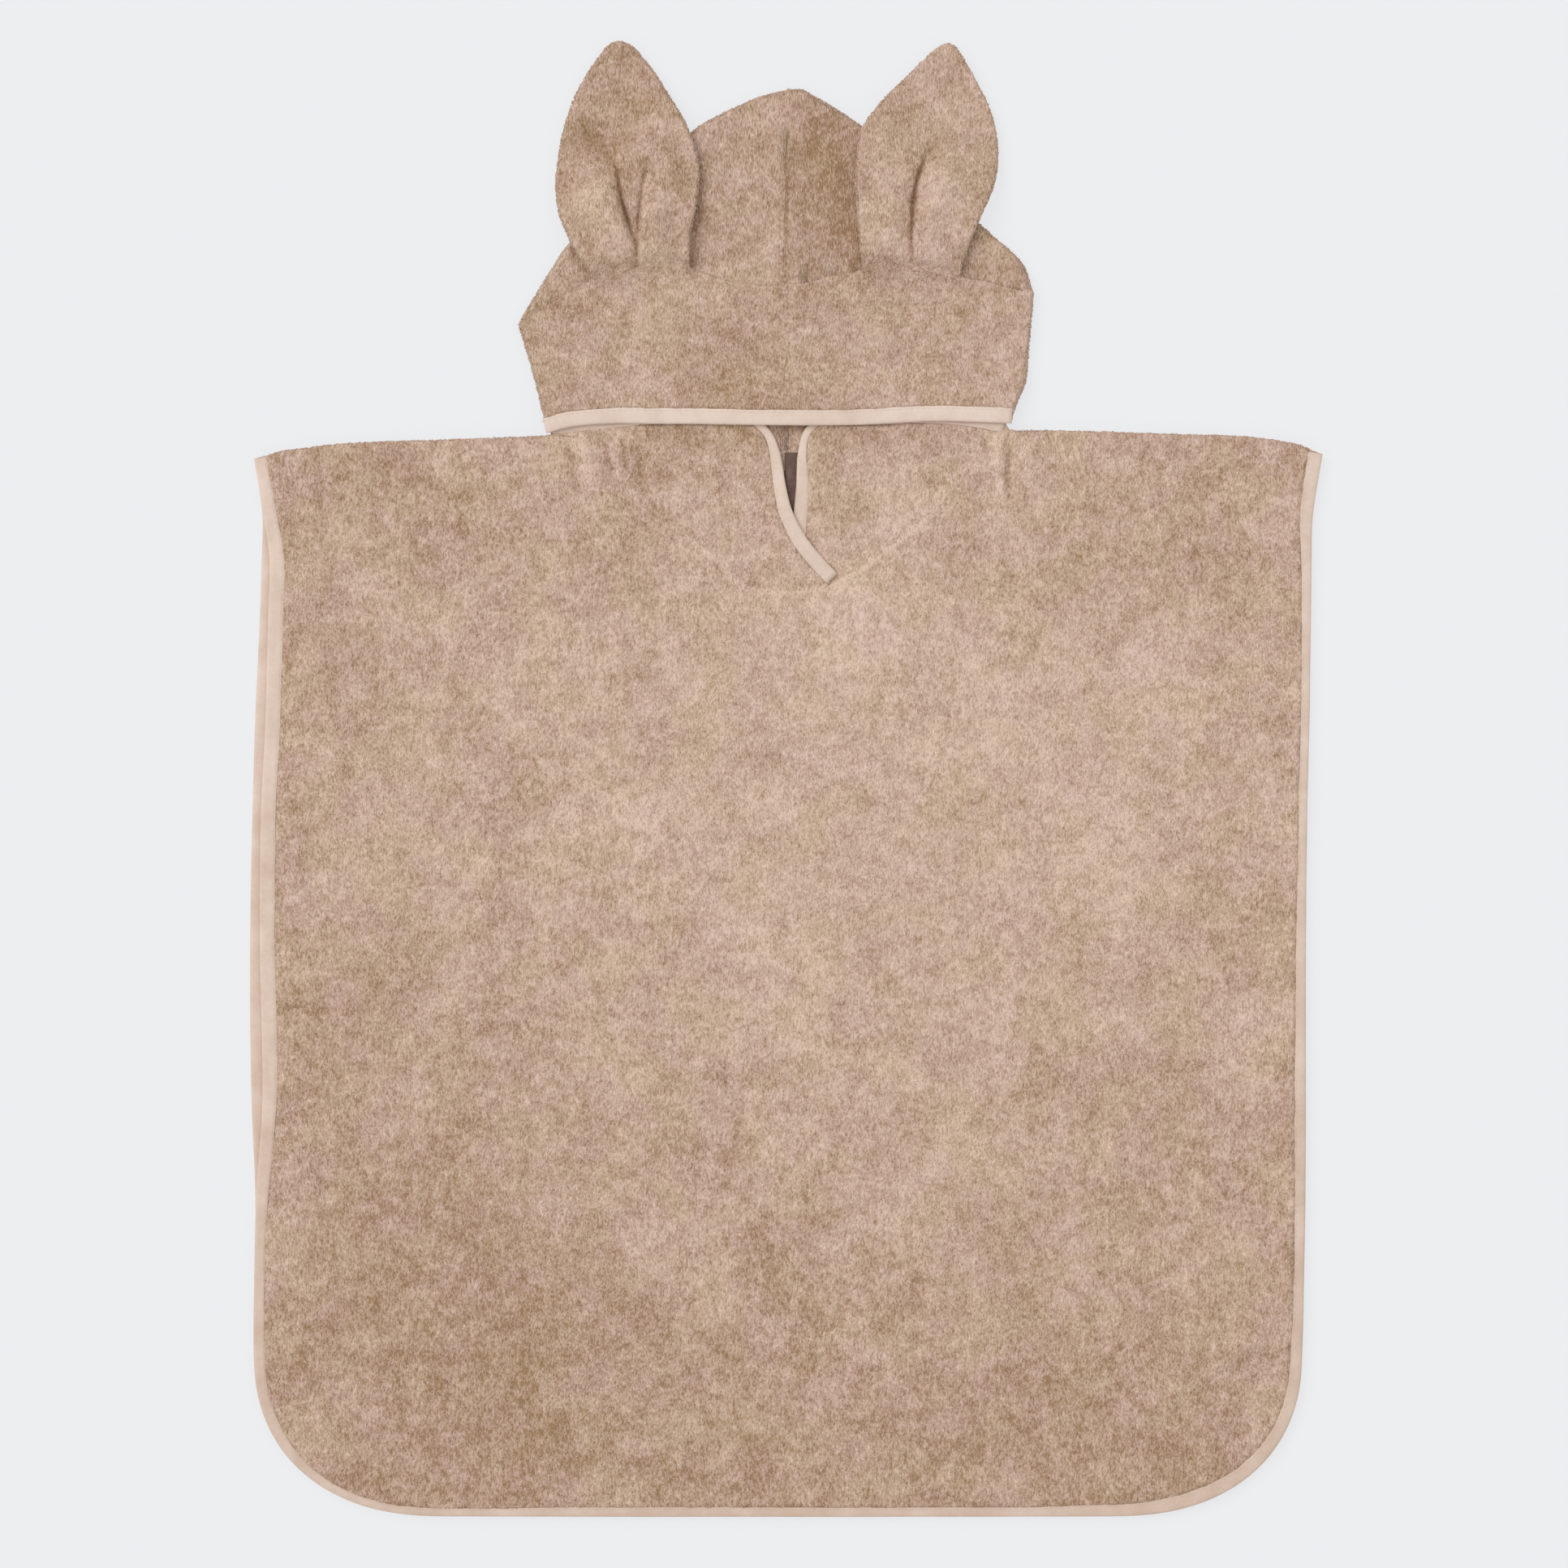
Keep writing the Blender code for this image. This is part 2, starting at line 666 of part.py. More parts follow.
def throat_share(point):
    """The throats thin towards the foot of the slit, where the neck seam holds both of them."""
    by_seam = smooth(distance_to(point, NECK_LINE), *SEAM_HOLD)
    by_slit = smooth(abs(point.x - SLIT_FOOT_X), *SLIT_FOOT_REACH)
    return 1 - (1 - SEAM_SHARE) * by_seam * by_slit


def right_rise(point):
    return LEVEL + label_lift(point)


def left_rise(point):
    lap = smooth(point.x, *LAP_X) * smooth(point.y, *LAP_Y)
    return right_rise(point) + lap * (TERRY * throat_share(point) + GAP)


RIGHT_THROAT = Lie(right_rise, throat_share)
LEFT_THROAT = Lie(left_rise, throat_share)


def throat(name, edge_points, seam_ends, corners, lie, finish):
    """One end of the band, between its bound edge and its stretch of the neck seam.

    corners are its points before the seam, where it has any."""
    edge = curve(edge_points, THROAT_STEP)[::-1]
    seam = [p for p in beside(NECK_LINE, GAP) if seam_ends[0] < p.x < seam_ends[1]]
    outline = beside(edge, TAPE_FOLD + GAP) + [Vector(p) for p in corners] + seam
    return laid_piece(name, outline, tape_steps(edge), lie, bound_half(edge), THROAT_FACET, finish)


# Ears ----------------------------------------------------------------------------------------


def ear_outline(slices, tip, base):
    """The ear's outline, from its base up its right side, over the tip and down its left side."""
    low, high = base[0] + SEAM_END_CLEAR, base[1] - SEAM_END_CLEAR
    seam = [p + Vector((0, GAP / 2)) for p in curve(BAND_SEAM, EAR_SEAM_STEP) if low < p.x < high]
    left_foot = Vector((base[0], height_at(base[0], BAND_SEAM) + GAP))
    right_foot = Vector((base[1], height_at(base[1], BAND_SEAM) + GAP))
    right = [right_foot] + [Vector((row.right, row.y)) for row in slices] + [Vector(tip)]
    left = [Vector(tip)] + [Vector((row.left, row.y)) for row in reversed(slices)] + [left_foot]
    return [left_foot, *seam, *curve(right + left[1:], EAR_STEP)[:-1]]


def pleat_height(point, pleats):
    """How far the pleats raise the cloth at a point."""
    total = 0.0
    for pleat in pleats:
        top = pleat.crease[-1].y
        across = pleat.side * (point.x - crease_x(point.y, pleat.crease))
        shape = smooth(across, 0.0, PLEAT_RISE) * (1 - smooth(across, PLEAT_RISE, PLEAT_SPREAD))
        total = max(total, pleat.height * shape * smooth(point.y, top, top - PLEAT_FADE))
    return total


def crease_x(y, crease):
    for a, b in zip(crease, crease[1:]):
        if y <= b.y:
            break
    return a.x + (b.x - a.x) * (y - a.y) / (b.y - a.y)


def ear_share(point):
    along = point.y - height_at(point.x, BAND_SEAM)
    return SEAM_SHARE + (1 - SEAM_SHARE) * smooth(along, 0.0, EAR_SEAM_REACH)


def ear(side_name, slices, tip, base, fold, pleats, finish):
    """The two layers of an ear: it leaves the band seam, lies on the crown and droops past its fold."""
    start, end = Vector(fold[0]), Vector(fold[1])
    along = (end - start).normalized()
    outward = Vector((-along.y, along.x))

    def back_rise(point):
        return 2 * LEVEL * (1 - smooth((point - start).dot(outward), *EAR_DROOP))

    def front_rise(point):
        return back_rise(point) + TERRY * ear_share(point) + GAP + pleat_height(point, pleats)

    outline = ear_outline(slices, tip, base)
    creases = []
    for pleat in pleats:
        foot = [Vector(p) for p in pleat.crease]
        top = [p + Vector((pleat.side * PLEAT_RISE, 0)) for p in foot]
        creases += [curve(foot, CREASE_STEP), curve(top, CREASE_STEP)]
    for layer, rise in (("back", back_rise), ("front", front_rise)):
        name = f"ear_{side_name}_{layer}"
        laid_piece(name, outline, creases, Lie(rise, ear_share), full_half, EAR_FACET, finish)


# Label ---------------------------------------------------------------------------------------


def neck_label(finish):
    left, right = LABEL_LEFT, LABEL_LEFT + LABEL_WIDE
    top, bottom = LABEL_TOP, LABEL_TOP - LABEL_LONG
    outline = [Vector((left, bottom)), Vector((right, bottom)), Vector((right, top)), Vector((left, top))]
    lie = Lie(lambda p: LEVEL - TERRY / 2 + LABEL_THICK / 2, lambda p: 1.0)
    laid_piece("neck_label", outline, [], lie, lambda p: LABEL_THICK / 2, LABEL_FACET, finish)


# Build ---------------------------------------------------------------------------------------

for leftover in list(bpy.data.objects):
    bpy.data.objects.remove(leftover)

towelling = finish_of("terry_towelling", (0.52, 0.37, 0.28), 0.95)
under_towelling = finish_of("terry_towelling_back", (0.47, 0.33, 0.25), 0.95)
tape = finish_of("binding_tape", (0.76, 0.62, 0.52), 0.7)
label_cloth = finish_of("label_weave", (0.13, 0.08, 0.07), 0.6)

nape_line = curve(NECK_BACK, NAPE_STEP)
body_panel("body_back", BACK_LEVEL, "left_back", BACK_TUCK, nape_line, under_towelling)
body_binding("binding_back", BACK_LEVEL, "left_back", BACK_TUCK, tape)
body_panel("body_front", FRONT_LEVEL, "left_front", 0.0, NECK_LINE, towelling)
body_binding("binding_front", FRONT_LEVEL, "left_front", 0.0, tape)

hood_side("hood_left", CROWN_LEFT, -1, towelling)
hood_side("hood_right", CROWN_RIGHT, 1, towelling)
hood_band("hood_band", towelling)
binding("binding_face", curve(FACE_EDGE, FACE_STEP), BAND_LIE, tape)

throat("throat_right", THROAT_EDGE_RIGHT, THROAT_RIGHT_SEAM, (), RIGHT_THROAT, towelling)
binding("binding_throat_right", curve(THROAT_EDGE_RIGHT, THROAT_STEP)[::-1], RIGHT_THROAT, tape)
left_corners = (THROAT_LEFT_CORNER,)
throat("throat_left", THROAT_EDGE_LEFT, THROAT_LEFT_SEAM, left_corners, LEFT_THROAT, towelling)
binding("binding_throat_left", curve(THROAT_EDGE_LEFT, THROAT_STEP)[::-1], LEFT_THROAT, tape)

ear("left", EAR_LEFT, EAR_LEFT_TIP, EAR_LEFT_BASE, EAR_LEFT_FOLD, LEFT_PLEATS, towelling)
ear("right", EAR_RIGHT, EAR_RIGHT_TIP, EAR_RIGHT_BASE, EAR_RIGHT_FOLD, RIGHT_PLEATS, towelling)

neck_label(label_cloth)
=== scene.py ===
import math
from collections import namedtuple

import bmesh
import bpy
import numpy as np
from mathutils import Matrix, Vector
from mathutils.bvhtree import BVHTree
from mathutils.geometry import delaunay_2d_cdt, interpolate_bezier
from mathutils.kdtree import KDTree


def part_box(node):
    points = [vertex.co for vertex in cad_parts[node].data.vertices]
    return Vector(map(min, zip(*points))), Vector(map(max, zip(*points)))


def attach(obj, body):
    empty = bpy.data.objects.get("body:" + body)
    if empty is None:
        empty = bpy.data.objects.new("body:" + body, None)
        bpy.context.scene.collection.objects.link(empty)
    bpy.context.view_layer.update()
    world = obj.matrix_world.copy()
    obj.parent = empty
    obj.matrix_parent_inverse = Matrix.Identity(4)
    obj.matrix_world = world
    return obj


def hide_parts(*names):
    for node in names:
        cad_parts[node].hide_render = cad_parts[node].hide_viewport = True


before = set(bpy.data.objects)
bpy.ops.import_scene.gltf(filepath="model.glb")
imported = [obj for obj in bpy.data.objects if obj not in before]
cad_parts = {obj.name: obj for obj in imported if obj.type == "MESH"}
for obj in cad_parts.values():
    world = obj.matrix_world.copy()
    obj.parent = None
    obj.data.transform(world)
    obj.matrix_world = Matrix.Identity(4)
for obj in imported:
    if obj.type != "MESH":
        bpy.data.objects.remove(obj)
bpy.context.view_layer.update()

# Back panel --------------------------------------
# The lower of the two towelling panels, which rests on the surface. It is one cut of cotton terry,
# looped on both sides, sewn to the front panel at the shoulders and bound with tape round its edge.

MM = 0.001
PILE_HALF = 1.4 * MM  # half of the towelling's thickness
CRUSHED_HALF = 0.3 * MM  # and inside a tape
CRUSHED_LIMIT = 0.5 * MM  # half of a solid is thinner than this only inside a tape
LOOP_WIDTH = 1.5 * MM
LOOP_LENGTH = 3.0 * MM
LOOP_HEIGHT = 0.42 * MM
LUMP_SIZE = 8.0 * MM
LUMP_HEIGHT = 0.28 * MM
NOISE_GAIN = 3.0  # brings a noise texture to about one unit each way
EDGE_FULLNESS = 1.3  # how much higher the pile stands on a rounded edge
SEAM_DIP = 0.06  # share of its half thickness by which the cloth dips at a seam
FREE_DIP = 0.9  # and at a free edge
SEAM_REACH = 2.6 * MM  # cloth this near another piece is sewn to it
SEAM_PUSH = 0.7 * MM  # how far sewn edges press together
SEAM_SHADE = 0.16  # how dark the painted shade in a seam's crease is
SEAM_SOFTNESS = 1.6 * MM  # and how wide it fades out
SEAM_PROBE = 2.0 * MM  # where the heights on both sides of a seam are found
SEAM_LEVELLING = 5.0 * MM  # how far from a seam the two cloths curve to one height
SEAM_STEP = 1.5 * MM
OUTLINE_STEP = 1.8 * MM
RINGS = (0.45 * MM, 1.25 * MM)  # points inside each edge, on the round of the cloth
TAPE_RINGS = (-0.45 * MM, 0.15 * MM)  # and on both sides of a tape's inner edge
TAPE_HOLD = 0.3 * MM  # how far from its inner edge a tape crushes the cloth
TAPE_HELD = 2.0 * MM  # an edge this near a tape's fold is inside that tape
LATTICE_GAP = 0.55  # share of a lattice's spacing that it keeps from the rings
PROBE_DEPTH = 0.5 * MM  # how far inside an edge the height of a solid is found
FREE_REACH = 1.6 * MM  # the rim of a free edge, where tufts stand
TUFTS_PER_M2 = 0.8e6
TUFT_CLEARANCE = 1.2 * MM  # no tuft starts nearer than this to the surface
TUFT_SIZE = 0.5 * MM
TUFT_SCALES = (0.6, 1.5)
TUFT_LEAN = 0.7
RIM_STEEPNESS = 0.1  # a rim starts where a face has turned this far from lying flat
ARCH_OVERRUN = 0.3  # how much further than half a turn a tuft goes round at each end
YARN_SIZE = 0.17 * MM
# The yarn's colours are painted light, lighter than the pile's, for the light that loops standing free catch.
YARN_DARK = (0.52, 0.375, 0.28, 1)
YARN_LIGHT = (0.77, 0.59, 0.48, 1)
MERGE_WITHIN = 0.01 * MM  # corners of a solid this near each other are one
SHARP_TURN = math.radians(35)  # an outline that turns further than this has a corner there
FACES_UP = 0.1  # a face that looks up more than this is on top of its solid
FACETS_INSIDE = 1  # the triangulation's mode that keeps to the inside of the outline
FACET_PRECISION = 1e-7
FOLD_FADE = 0.7  # how much lower a fold is at its two ends
FAR_AWAY = Vector((9, 9, 9))


class Wire:
    """A node's output, in a material or a geometry tree. Python's operators add Math nodes to it."""

    def __init__(self, tree, out=None):
        self.tree = tree
        self.out = out

    def make(self, kind, settings=None, inputs=None, out=0):
        """A new node with its settings, then its sockets' values or links; gives one of its outputs."""
        node = self.tree.nodes.new(kind)
        for name, value in (settings or {}).items():
            setattr(node, name, value)
        for key, value in (inputs or {}).items():
            if isinstance(value, Wire):
                value.feed(node.inputs[key])
            else:
                node.inputs[key].default_value = value
        return Wire(self.tree, node.outputs[out])

    def feed(self, socket):
        """Links this output to a socket."""
        self.tree.links.new(self.out, socket)

    def maths(self, operation, *values):
        """A Math node on these values."""
        return self.make("ShaderNodeMath", {"operation": operation}, dict(enumerate(values)))

    def vector(self, operation, inputs, out=0):
        """A Vector Math node with these inputs."""
        return self.make("ShaderNodeVectorMath", {"operation": operation}, inputs, out)

    def parts(self):
        """A vector's X, Y and Z."""
        split = self.make("ShaderNodeSeparateXYZ", None, {0: self})
        return [Wire(self.tree, socket) for socket in split.out.node.outputs]

    def gather(self, *parts):
        """The vector whose X, Y and Z these are."""
        return self.make("ShaderNodeCombineXYZ", None, dict(enumerate(parts)))

    def __add__(self, other):
        return self.maths("ADD", self, other)

    def __radd__(self, other):
        return self.maths("ADD", other, self)

    def __sub__(self, other):
        return self.maths("SUBTRACT", self, other)

    def __rsub__(self, other):
        return self.maths("SUBTRACT", other, self)

    def __mul__(self, other):
        return self.maths("MULTIPLY", self, other)

    def __rmul__(self, other):
        return self.maths("MULTIPLY", other, self)

    def between(self, low, high):
        """0 where the value is low, 1 where it is high, and an even curve between."""
        inputs = {"Value": self, "From Min": low, "From Max": high}
        return self.make("ShaderNodeMapRange", {"interpolation_type": "SMOOTHSTEP"}, inputs)

    def blend(self, first, second):
        """From the first colour to the second, as the value goes from 0 to 1."""
        return self.make("ShaderNodeMix", {"data_type": "RGBA"}, {0: self, 6: first, 7: second}, 2)

    def times(self, colour):
        """A colour multiplied by another."""
        settings = {"data_type": "RGBA", "blend_type": "MULTIPLY"}
        return self.make("ShaderNodeMix", settings, {0: 1.0, 6: self, 7: colour}, 2)


def grain_at(place, size, stretch=1.0, detail=2.0, shift=0.0):
    """Noise about 0 whose grains have this size, stretched along the cloth's length."""
    scale = (1 / size, 1 / (size * stretch), 1 / size)
    inputs = {"Vector": place, "Location": (shift, shift, shift), "Scale": scale}
    at = place.make("ShaderNodeMapping", None, inputs)
    return place.make("ShaderNodeTexNoise", None, {"Vector": at, "Scale": 1.0, "Detail": detail}) - 0.5


def new_finish(name, fixed):
    """A material whose shader has these fixed values, with the shader's inputs and a first wire."""
    material = bpy.data.materials.new(name)
    material.use_nodes = True
    tree = material.node_tree
    shader = tree.nodes["Principled BSDF"]
    for key, value in fixed.items():
        shader.inputs[key].default_value = value
    return material, shader.inputs, Wire(tree)


TERRY_DARK = (0.318, 0.189, 0.102, 1)
TERRY_LIGHT = (0.788, 0.588, 0.480, 1)
TERRY_PINK = (1.004, 0.988, 1.034, 1)
TERRY_GREEN = (0.996, 1.010, 0.958, 1)
# The colour of the painted shade in creases and seams.
TERRY_CREASE_SHADE = (0.50, 0.40, 0.33, 1)


def terry_finish(name, tone, combed=1.0, glow=0.0, glow_place=(0.0, 0.0, 0.0), glow_reach=0.4):
    """Cotton terry. tone is its lightness, and glow how much painted light lies about one place.

    combed is how much longer its loops lie than on the body.
    """
    fixed = {"Specular IOR Level": 0.12, "Sheen Weight": 0.10, "Sheen Roughness": 0.6}
    material, shader, start = new_finish(name, fixed)
    place = start.make("ShaderNodeTexCoord", out="Object")
    relief = place.make("ShaderNodeAttribute", {"attribute_name": "relief"}, out="Fac")
    painted_shading = place.make("ShaderNodeAttribute", {"attribute_name": "painted_shading"}, out="Fac")
    loops = grain_at(place, 0.9 * MM / combed ** 0.5, 2.2 * combed, 0.0)
    fine = grain_at(place, 0.5 * MM, 1.8 * combed, 0.0, 4.0)
    clumps = grain_at(place, 2.2 * MM, 1.7, 0.0, 9.0)
    mottle = grain_at(place, 8.0 * MM, 1.1, 2.0, 17.0)
    patches = grain_at(place, 22.0 * MM, 1.1, 1.0, 41.0)
    broad = grain_at(place, 60.0 * MM, 1.3, 2.0, 23.0)
    hue = grain_at(place, 30.0 * MM, 1.0, 2.0, 31.0)
    # The loop and fine grains are partly the yarn's uneven tone and partly painted shade between the loops
    # and painted light on their tops.
    lightness = loops * 0.84 + fine * 0.80 + clumps * 0.44 + mottle * 0.74 + patches * 0.34
    lightness = lightness + broad * 0.48 + tone + painted_shading
    # Painted light: a pool of it about glow_place, painted highlights on ridges and painted shade in troughs
    # by the relief.
    away = place.vector("DISTANCE", {0: place, 1: glow_place}, "Value")
    lightness = lightness + (1 - away.between(0.0, glow_reach)) * glow + relief * 0.18
    base = lightness.blend(TERRY_DARK, TERRY_LIGHT)
    tint = hue.between(-0.2, 0.2).blend(TERRY_PINK, TERRY_GREEN)
    # Painted shade in creases and seams, where the relief falls steeply.
    shade = relief.between(-0.15, -1.1).blend((1, 1, 1, 1), TERRY_CREASE_SHADE)
    colour = base.times(tint).times(shade)
    height = loops + fine * 0.6 + clumps * 0.6
    bump = height.make("ShaderNodeBump", None, {"Strength": 0.6, "Distance": 0.9 * MM, "Height": height})
    colour.feed(shader["Base Color"])
    (clumps * 0.2 + 0.92).feed(shader["Roughness"])
    bump.feed(shader["Normal"])
    return material


def new_tree(name, *sizes):
    """An empty geometry tree that takes a geometry, named sizes and a material, with its first wire."""
    tree = bpy.data.node_groups.new(name, "GeometryNodeTree")
    tree.interface.new_socket("Geometry", in_out="INPUT", socket_type="NodeSocketGeometry")
    for size in sizes:
        kind = "NodeSocketInt" if size == "Seed" else "NodeSocketFloat"
        tree.interface.new_socket(size, in_out="INPUT", socket_type=kind)
    tree.interface.new_socket("Material", in_out="INPUT", socket_type="NodeSocketMaterial")
    tree.interface.new_socket("Geometry", in_out="OUTPUT", socket_type="NodeSocketGeometry")
    group = tree.nodes.new("NodeGroupInput")
    given = {socket.name: Wire(tree, socket) for socket in group.outputs if socket.name}
    return tree, given


def close_tree(tree, geometry, material):
    """Ends a tree in plain geometry with its material."""
    real = geometry.make("GeometryNodeRealizeInstances", None, {0: geometry})
    finished = real.make("GeometryNodeSetMaterial", None, {"Geometry": real, "Material": material})
    finished.feed(tree.nodes.new("NodeGroupOutput").inputs[0])


def run_tree(piece, tree, values):
    """Puts what the tree makes of an object, as a plain mesh, in place of its mesh."""
    modifier = piece.modifiers.new(tree.name, "NODES")
    modifier.node_group = tree
    sockets = {s.name: s.identifier for s in tree.interface.items_tree if s.in_out == "INPUT"}
    for name, value in values.items():
        modifier[sockets[name]] = value
    graph = bpy.context.evaluated_depsgraph_get()
    made = bpy.data.meshes.new_from_object(piece.evaluated_get(graph))
    piece.modifiers.remove(modifier)
    before, piece.data = piece.data, made
    bpy.data.meshes.remove(before)
    made.name = piece.name


def put_in_scene(name, data):
    """A new object in the scene, at the origin."""
    piece = bpy.data.objects.new(name, data)
    bpy.context.scene.collection.objects.link(piece)
    return piece


def pile_tree():
    """Raises a cloth's surface into the small clumps that its loops make."""
    sizes = ("Loop Height", "Lump Height", "Loop Width", "Loop Length", "Lump Size", "Edge Fullness")
    tree, given = new_tree("terry_pile", *sizes)
    start = Wire(tree)
    place = start.make("GeometryNodeInputPosition")
    out = start.make("GeometryNodeInputNormal")
    size = start.gather(given["Loop Width"], given["Loop Length"], given["Loop Width"])
    at = place.vector("DIVIDE", {0: place, 1: size})
    loops = at.make("ShaderNodeTexNoise", None, {"Vector": at, "Scale": 1.0, "Detail": 1.0}) - 0.5
    size = start.gather(given["Lump Size"], given["Lump Size"], given["Lump Size"])
    span = place.vector("DIVIDE", {0: place, 1: size})
    lumps = span.make("ShaderNodeTexNoise", None, {"Vector": span, "Scale": 1.0, "Detail": 2.0}) - 0.5
    up = out.parts()[2]
    fullness = (1 - up.maths("ABSOLUTE", up)) * given["Edge Fullness"] + 1
    rise = (loops * NOISE_GAIN * given["Loop Height"] + lumps * NOISE_GAIN * given["Lump Height"]) * fullness
    offset = out.vector("SCALE", {0: out, "Scale": rise})
    x, y, z = offset.vector("ADD", {0: place, 1: offset}).parts()
    resting = start.gather(x, y, z.maths("MAXIMUM", z, 0.0))
    raised = start.make("GeometryNodeSetPosition", None, {"Geometry": given["Geometry"], "Position": resting})
    close_tree(tree, raised, given["Material"])
    return tree


PILE = pile_tree()


def raise_pile(piece, material, share=1.0, crisp=math.pi):
    """Gives a smooth cloth its pile. Edges that turn further than crisp are shaded sharp."""
    run_tree(piece, PILE, {
        "Loop Height": LOOP_HEIGHT * share, "Lump Height": LUMP_HEIGHT * share,
        "Loop Width": LOOP_WIDTH, "Loop Length": LOOP_LENGTH, "Lump Size": LUMP_SIZE,
        "Edge Fullness": EDGE_FULLNESS, "Material": material,
    })
    piece.data.shade_smooth()
    piece.data.set_sharp_from_angle(angle=crisp)


def tuft_tree():
    """Scatters small loops of yarn over a cloth's rounded edges."""
    tree, given = new_tree("edge_tufts", "Density", "Loop Size", "Yarn Size", "Clearance", "Seed")
    start = Wire(tree)
    out = start.make("GeometryNodeInputNormal")
    up = out.parts()[2]
    free = start.make("GeometryNodeInputNamedAttribute", {"data_type": "FLOAT"}, {"Name": "free"})
    flatness = up.maths("ABSOLUTE", up) - free
    steep = up.make("FunctionNodeCompare", {"operation": "LESS_THAN"}, {0: flatness, 1: -RIM_STEEPNESS})
    height = start.make("GeometryNodeInputPosition").parts()[2]
    clear = height.make("FunctionNodeCompare", {"operation": "GREATER_THAN"}, {
        0: height, 1: given["Clearance"],
    })
    chosen = steep.make("FunctionNodeBooleanMath", {"operation": "AND"}, {0: steep, 1: clear})
    spread = start.make("GeometryNodeDistributePointsOnFaces", None, {
        "Mesh": given["Geometry"], "Selection": chosen, "Density": given["Density"], "Seed": given["Seed"],
    })
    standing = Wire(tree, spread.out.node.outputs["Rotation"])
    spin = start.make("FunctionNodeRandomValue", {"data_type": "FLOAT_VECTOR"}, {
        0: (-TUFT_LEAN, -TUFT_LEAN, 0.0), 1: (TUFT_LEAN, TUFT_LEAN, 2 * math.pi), "Seed": given["Seed"],
    })
    turned = standing.make("FunctionNodeRotateRotation", {"rotation_space": "LOCAL"}, {0: standing, 1: spin})
    scales = {2: TUFT_SCALES[0], 3: TUFT_SCALES[1], "Seed": 5}
    size = start.make("FunctionNodeRandomValue", {"data_type": "FLOAT"}, scales, 1)
    arch = start.make("GeometryNodeCurveArc", None, {
        "Resolution": 4, "Radius": given["Loop Size"], "Start Angle": -ARCH_OVERRUN,
        "Sweep Angle": math.pi + 2 * ARCH_OVERRUN,
    })
    yarn = start.make("GeometryNodeCurvePrimitiveCircle", None, {
        "Resolution": 3, "Radius": given["Yarn Size"],
    })
    loop = arch.make("GeometryNodeCurveToMesh", None, {0: arch, "Profile Curve": yarn, "Fill Caps": True})
    upright = loop.make("GeometryNodeTransform", None, {
        "Geometry": loop, "Rotation": (math.pi / 2, 0.0, 0.0),
    })
    tufts = start.make("GeometryNodeInstanceOnPoints", None, {
        "Points": spread, "Instance": upright, "Rotation": turned, "Scale": size,
    })
    close_tree(tree, tufts, given["Material"])
    return tree


TUFTS = tuft_tree()


def yarn_finish():
    """The loops' own yarn, painted lighter than the pile as painted light where the loops stand free."""
    material, shader, start = new_finish("terry_yarn", {"Roughness": 1.0, "Specular IOR Level": 0.1})
    place = start.make("ShaderNodeTexCoord", out="Object")
    colour = (grain_at(place, 1.2 * MM) * 1.5 + 0.5).blend(YARN_DARK, YARN_LIGHT)
    colour.feed(shader["Base Color"])
    return material


YARN_FINISH = yarn_finish()


def tuft_edges(name, mesh):
    """The loops of yarn that stand out from a cloth's free edges, if it has any such edge."""
    piece = put_in_scene(name, mesh.copy())
    run_tree(piece, TUFTS, {
        "Density": TUFTS_PER_M2, "Loop Size": TUFT_SIZE, "Yarn Size": YARN_SIZE,
        "Clearance": TUFT_CLEARANCE, "Seed": len(name), "Material": YARN_FINISH,
    })
    if not piece.data.polygons:
        bpy.data.meshes.remove(piece.data)
        return []
    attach(piece, "root")
    return [piece]


def shell_of(node):
    """A merged copy of a node's mesh."""
    shell = bmesh.new()
    shell.from_mesh(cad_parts[node].data)
    bmesh.ops.remove_doubles(shell, verts=shell.verts, dist=MERGE_WITHIN)
    shell.normal_update()
    return shell


def length_of(line):
    """How long an open line is."""
    return sum((b - a).length for a, b in zip(line, line[1:]))


def top_rims(node):
    """The closed lines round a node's upward faces, the longest first, with the cloth on their left."""
    shell = shell_of(node)
    following = {}
    for face in shell.faces:
        if face.normal.z <= FACES_UP:
            continue
        for loop in face.loops:
            others = [other for other in loop.edge.link_faces if other != face]
            if all(other.normal.z <= FACES_UP for other in others):
                following[loop.vert.index] = loop.link_loop_next.vert.index
    places = [vertex.co.copy() for vertex in shell.verts]
    shell.free()
    rims = []
    while following:
        here, rim = next(iter(following)), []
        while here in following:
            rim.append(places[here])
            here = following.pop(here)
        rims.append(rim)
    return sorted(rims, key=length_of, reverse=True)


def eased(line, step, closed=True):
    """A line drawn smoothly through its points, with its sharp corners kept."""
    count = len(line)
    spans = count if closed else count - 1
    chords = [line[(i + 1) % count] - line[i] for i in range(spans)]
    slopes = [chord.normalized() for chord in chords]

    def tangent(i, own):
        if not closed and i in (0, count - 1):
            return own
        before, after = slopes[(i - 1) % spans], slopes[i % spans]
        if before.angle(after, 0.0) > SHARP_TURN:
            return own
        near, far = chords[(i - 1) % spans].length, chords[i % spans].length
        return before.lerp(after, far / (near + far))

    points = []
    for i in range(spans):
        start, end = line[i], line[(i + 1) % count]
        reach = chords[i].length / 3
        handles = start + tangent(i, slopes[i]) * reach, end - tangent((i + 1) % count, slopes[i]) * reach
        pieces = max(1, round(chords[i].length / step))
        points += interpolate_bezier(start, *handles, end, pieces + 1)[:-1]
    return points if closed else [*points, line[-1]]


def inward_of(line, closed=True):
    """The unit ways to the left of a line seen from above, one for each of its points."""
    ways = []
    last = len(line) - 1
    for i, point in enumerate(line):
        before = point - line[i - 1] if closed or i else line[1] - point
        after = line[(i + 1) % len(line)] - point if closed or i < last else before
        run = before.normalized() + after.normalized()
        ways.append(Vector((-run.y, run.x)).normalized())
    return ways


